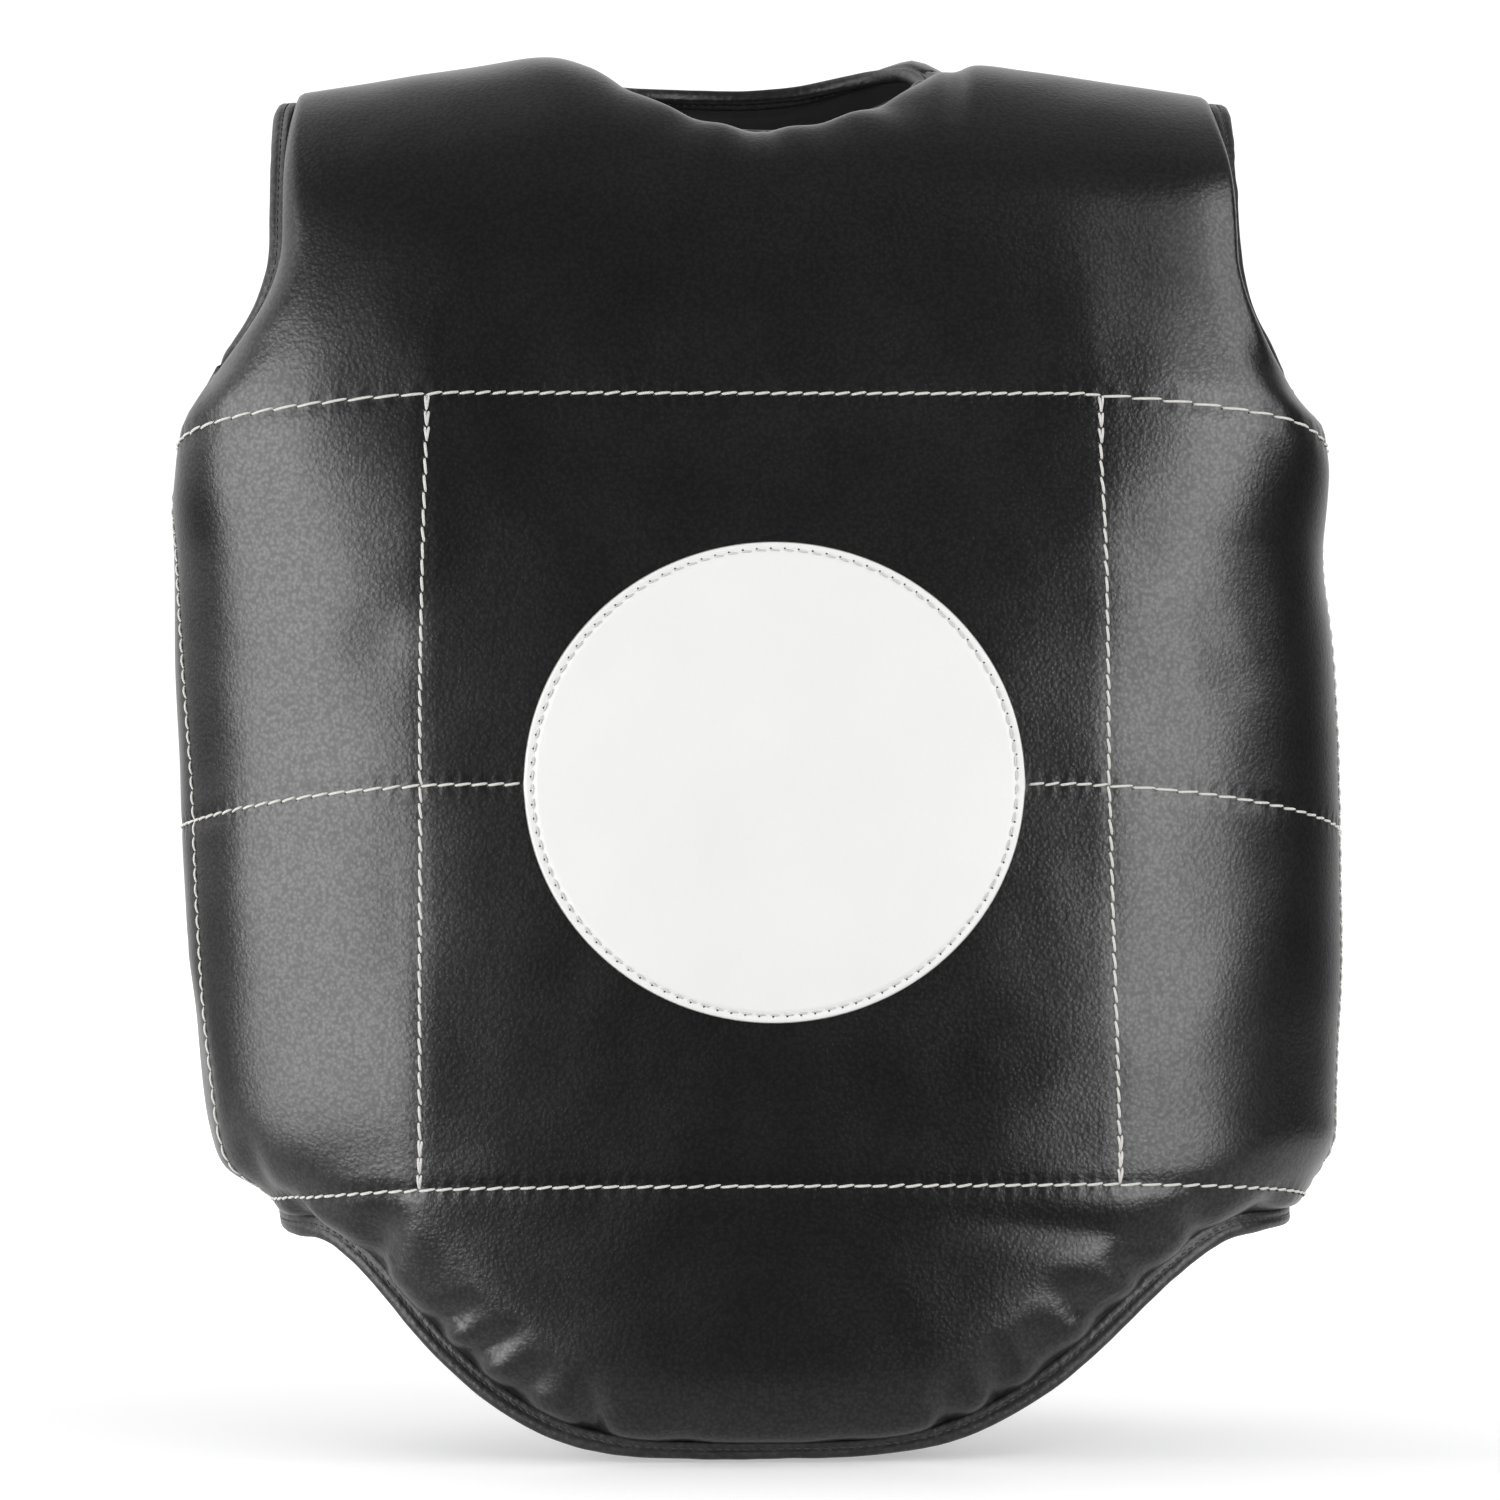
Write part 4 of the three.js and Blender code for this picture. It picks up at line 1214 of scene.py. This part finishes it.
def ranged(value, low, high, to_low=0.0, to_high=1.0):
    """A value taken from one span to another and held at the ends."""
    spans = {"from_min": low, "from_max": high, "to_min": to_low, "to_max": to_high}
    made = add_node(value.id_data, "ShaderNodeMapRange", **spans)
    wire(value, made.inputs["Value"])
    return made.outputs["Result"]


def computed(operation, *values):
    made = add_node(values[0].id_data, "ShaderNodeMath", operation=operation)
    for value, into in zip(values, made.inputs):
        wire(value, into)
    return made.outputs["Value"]


def texture(kind, place, size, **values):
    """A pattern laid out at a size in millimetres."""
    made = add_node(place.id_data, "ShaderNodeTex" + kind, scale=1 / (size * MM), **values)
    wire(place, made.inputs["Vector"])
    return made.outputs


def bumped(height, deep, under=None, strength=1.0, invert=False):
    made = add_node(height.id_data, "ShaderNodeBump", strength=strength, distance=deep * MM, invert=invert)
    wire(height, made.inputs["Height"])
    if under:
        wire(under, made.inputs["Normal"])
    return made.outputs["Normal"]


def varied(place, size, low, high):
    """A value that drifts between two levels over patches of one size."""
    return ranged(texture("Noise", place, size, detail=3.0)["Fac"], 0.3, 0.7, low, high)


def coloured(place, size, dark, light):
    mix = add_node(place.id_data, "ShaderNodeMix", data_type="RGBA")
    mix.inputs["A"].default_value = (*dark, 1)
    mix.inputs["B"].default_value = (*light, 1)
    wire(texture("Noise", place, size, detail=4.0)["Fac"], mix.inputs["Factor"])
    colours = [socket for socket in mix.outputs if socket.type == "RGBA"]
    return colours[0]


def pebbled(place, size, deep, fine):
    """A bump of rounded pebbles of one size, with finer noise over them, and the pattern itself."""
    pebbles = texture("Voronoi", place, size, feature="SMOOTH_F1")["Distance"]
    specks = texture("Noise", place, size * 0.45, detail=2.0)["Fac"]
    return bumped(specks, fine, bumped(pebbles, deep, invert=True)), pebbles


# %% Materials
LEATHER_SHINE = {"span": (0.1, 0.6), "levels": (0.73, 0.47)}
LEATHERS = table(
    "name dark light gloss grain deep",
    ("black_leatherette", (0.002, 0.002, 0.0022), (0.004, 0.0038, 0.0038), (0.28, 0.32), 1.5, 0.09),
    ("tape_leatherette", (0.005, 0.005, 0.0055), (0.009, 0.009, 0.0095), (0.36, 0.46), 2.4, 0.22),
    ("white_leatherette", (0.61, 0.61, 0.605), (0.65, 0.65, 0.645), (0.42, 0.5), 0.7, 0.02),
)
NYLON = {"dark": (0.010, 0.010, 0.011), "light": (0.02, 0.02, 0.021), "spread": 40, "yarn": 2.6, "deep": 0.06}
DULL = table(
    "name dark light spread rough grain",
    ("white_thread", (0.42, 0.41, 0.385), (0.60, 0.59, 0.565), 0.9, 0.7, (0.35, 0.03, 0.02)),
    ("patch_thread_white", (0.40, 0.40, 0.40), (0.55, 0.55, 0.55), 0.9, 0.7, (0.35, 0.03, 0.02)),
    # The black thread's finish also colours the beads of painted shade at the needle holes.
    ("black_thread", (0.02, 0.02, 0.021), (0.06, 0.06, 0.062), 0.9, 0.7, (0.35, 0.03, 0.02)),
    ("cut_edge", (0.20, 0.19, 0.18), (0.34, 0.33, 0.31), 3, 0.8, (0.5, 0.05, 0.03)),
)


def leather(name, dark, light, gloss, grain, deep):
    """Leatherette that is glossier on the crests of its pebbles than in the valleys."""
    finish, shader, place = blank_finish(name)
    normal, pebbles = pebbled(place, grain, deep, deep * 0.6)
    colour, rough = coloured(place, 55, dark, light), varied(place, 38, *gloss)
    dress(shader, base_color=colour, roughness=rough, normal=normal)
    shine = ranged(pebbles, *LEATHER_SHINE["span"], *LEATHER_SHINE["levels"])
    wire(shine, shader.inputs["Specular IOR Level"])
    return finish


def nylon_lining():
    """The black woven lining: two crossed waves of fine yarn."""
    finish, shader, place = blank_finish("nylon_lining")
    weave = None
    for direction in ("X", "Z"):
        wave = texture("Wave", place, NYLON["yarn"], bands_direction=direction, distortion=0.4)
        weave = bumped(wave["Fac"], NYLON["deep"], weave, strength=0.6)
    colour = coloured(place, NYLON["spread"], NYLON["dark"], NYLON["light"])
    dress(shader, base_color=colour, roughness=0.55, sheen_weight=0.15, normal=weave)
    return finish


def dull(name, dark, light, spread, rough, grain):
    """Thread and cut foam: small light and dark turns, and no gloss."""
    finish, shader, place = blank_finish(name)
    colour = coloured(place, spread, dark, light)
    dress(shader, base_color=colour, roughness=rough, normal=pebbled(place, *grain)[0])
    return finish


pad_leather, tape_leather, white_leather = (leather(**row) for row in LEATHERS)
lining = nylon_lining()
white_thread, grey_thread, black_thread, cut_edge = (dull(**row) for row in DULL)

for panel in (front, back):
    panel.data.materials.append(pad_leather)
    panel.data.materials.append(lining)
patch.data.materials.append(white_leather)
patch.data.materials.append(cut_edge)
for piece, _ in tapes:
    piece.data.materials.append(tape_leather)
quilting_thread.data.materials.append(white_thread)
patch_thread.data.materials.append(grey_thread)
# The beads at the needle holes are painted shade, in the black thread's finish.
hole_shade_piece.data.materials.append(black_thread)
tape_thread.data.materials.append(black_thread)
print(len(bpy.data.materials), "finishes")

# %% [markdown]
# ## Floor and light
# The studio is white behind and dark toward the camera, with a large soft box on the left and
# three smaller ones on the right. That is why the flanks shine and the middle stays black: a
# glossy skin shows what it faces. A pale floor lies just under the lowest point, and it melts
# into the white surroundings toward its front edge and its two sides.

# %% Floor
FLOOR_CLEARANCE = 1.5 * MM
FLOOR_HALF, FLOOR_FRONT, FLOOR_BACK = 1.2, -0.4, 8
FLOOR_TINTS = ((0.86, 0.86, 0.86), (0.88, 0.88, 0.88))
# Where the floor is gone and where it is solid, then where it starts to glow and how much.
FLOOR_FADES = {"front": (-0.26, -0.06), "sides": (1.15, 0.6)}
FLOOR_GLOW = {"span": (-0.4, 1.2), "levels": (0.0, 0.95)}
WHITE = (1, 1, 1, 1)

low_corner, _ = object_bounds()
floor_z = low_corner.z - FLOOR_CLEARANCE
floor_mesh = bpy.data.meshes.new("floor")
corners = [(x, y, floor_z) for y in (FLOOR_FRONT, FLOOR_BACK) for x in (-FLOOR_HALF, FLOOR_HALF)]
floor_mesh.from_pydata(corners, [], [(0, 1, 3, 2)])
floor = placed("floor", floor_mesh)
floor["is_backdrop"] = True
floor_finish, floor_shader, floor_place = blank_finish("pale_floor")
reach = add_node(floor_place.id_data, "ShaderNodeSeparateXYZ")
wire(floor_place, reach.inputs["Vector"])
front_fade = ranged(reach.outputs["Y"], *FLOOR_FADES["front"])
side_fade = ranged(computed("ABSOLUTE", reach.outputs["X"]), *FLOOR_FADES["sides"])
dress(
    floor_shader,
    base_color=coloured(floor_place, 400, *FLOOR_TINTS),
    roughness=0.5,
    alpha=computed("MULTIPLY", front_fade, side_fade),
    emission_color=WHITE,
    emission_strength=ranged(reach.outputs["Y"], *FLOOR_GLOW["span"], *FLOOR_GLOW["levels"]),
)
floor_mesh.materials.append(floor_finish)
print("floor at", round(floor_z, 4))

# %% Soft boxes and surroundings
CENTRE = Vector((0, 0, -0.27))
SOFT_BOXES = table(
    "name turn climb away wide tall watts",
    ("left_box", -57, -1, 1.6, 1.55, 1.35, 37),
    ("right_box", 42.5, -3, 1.6, 0.89, 1.1, 16.5),
    ("right_top", 42.5, 27, 1.6, 0.89, 1.1, 5),
    ("right_edge", 66, 24, 1.6, 0.6, 1.2, 8),
)
# Bands of the surroundings: brighter as a direction lines up with the one given.
SKY = table(
    "toward span levels",
    ((0, 1, 0), (-0.1, 0.5), (0.02, 0.14)),
    ((0, 1, 0), (0.55, 0.95), (0.0, 1.0)),
    ((0, 0, 1), (0.3, 0.8), (0.0, 0.22)),
    ((-0.8, 0.3, 0.52), (0.75, 0.95), (0.0, 1.3)),
    ((-0.5, -0.87, 0), (0.86, 0.99), (0.0, 0.45)),
)

for box in SOFT_BOXES:
    light = bpy.data.lights.new(box["name"], "AREA")
    light.shape = "RECTANGLE"
    light.size, light.size_y, light.energy = box["wide"], box["tall"], box["watts"]
    lamp = placed(box["name"], light)
    turn, climb = math.radians(box["turn"]), math.radians(box["climb"])
    away = Vector((math.sin(turn) * math.cos(climb), -math.cos(turn) * math.cos(climb), math.sin(climb)))
    lamp.location = CENTRE + away * box["away"]
    lamp.rotation_euler = away.to_track_quat("Z", "Y").to_euler()

world = bpy.data.worlds.new("studio")
bpy.context.scene.world = world
world.use_nodes = True
sky = world.node_tree
looking = add_node(sky, "ShaderNodeTexCoord").outputs["Generated"]
glow = None
for band in SKY:
    lined_up = add_node(sky, "ShaderNodeVectorMath", operation="DOT_PRODUCT")
    lined_up.inputs[1].default_value = band["toward"]
    wire(looking, lined_up.inputs[0])
    part = ranged(lined_up.outputs["Value"], *band["span"], *band["levels"])
    glow = computed("ADD", glow, part) if glow else part
seen = add_node(sky, "ShaderNodeLightPath").outputs["Is Camera Ray"]
dress(sky.nodes["Background"], color=WHITE, strength=computed("MAXIMUM", seen, glow))
bpy.context.scene.view_settings.view_transform = "Standard"
print(len(SOFT_BOXES), "soft boxes and", len(SKY), "bands of sky")

# %% [markdown]
# ## The box of the model
# Last, the box of the dressed model is printed. Cloth may stand a little proud of its solid and
# no more, and the frame is checked.

# %% Sizes and finish
low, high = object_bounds()
print("visual box", [round(c, 4) for c in (*low, *high)])
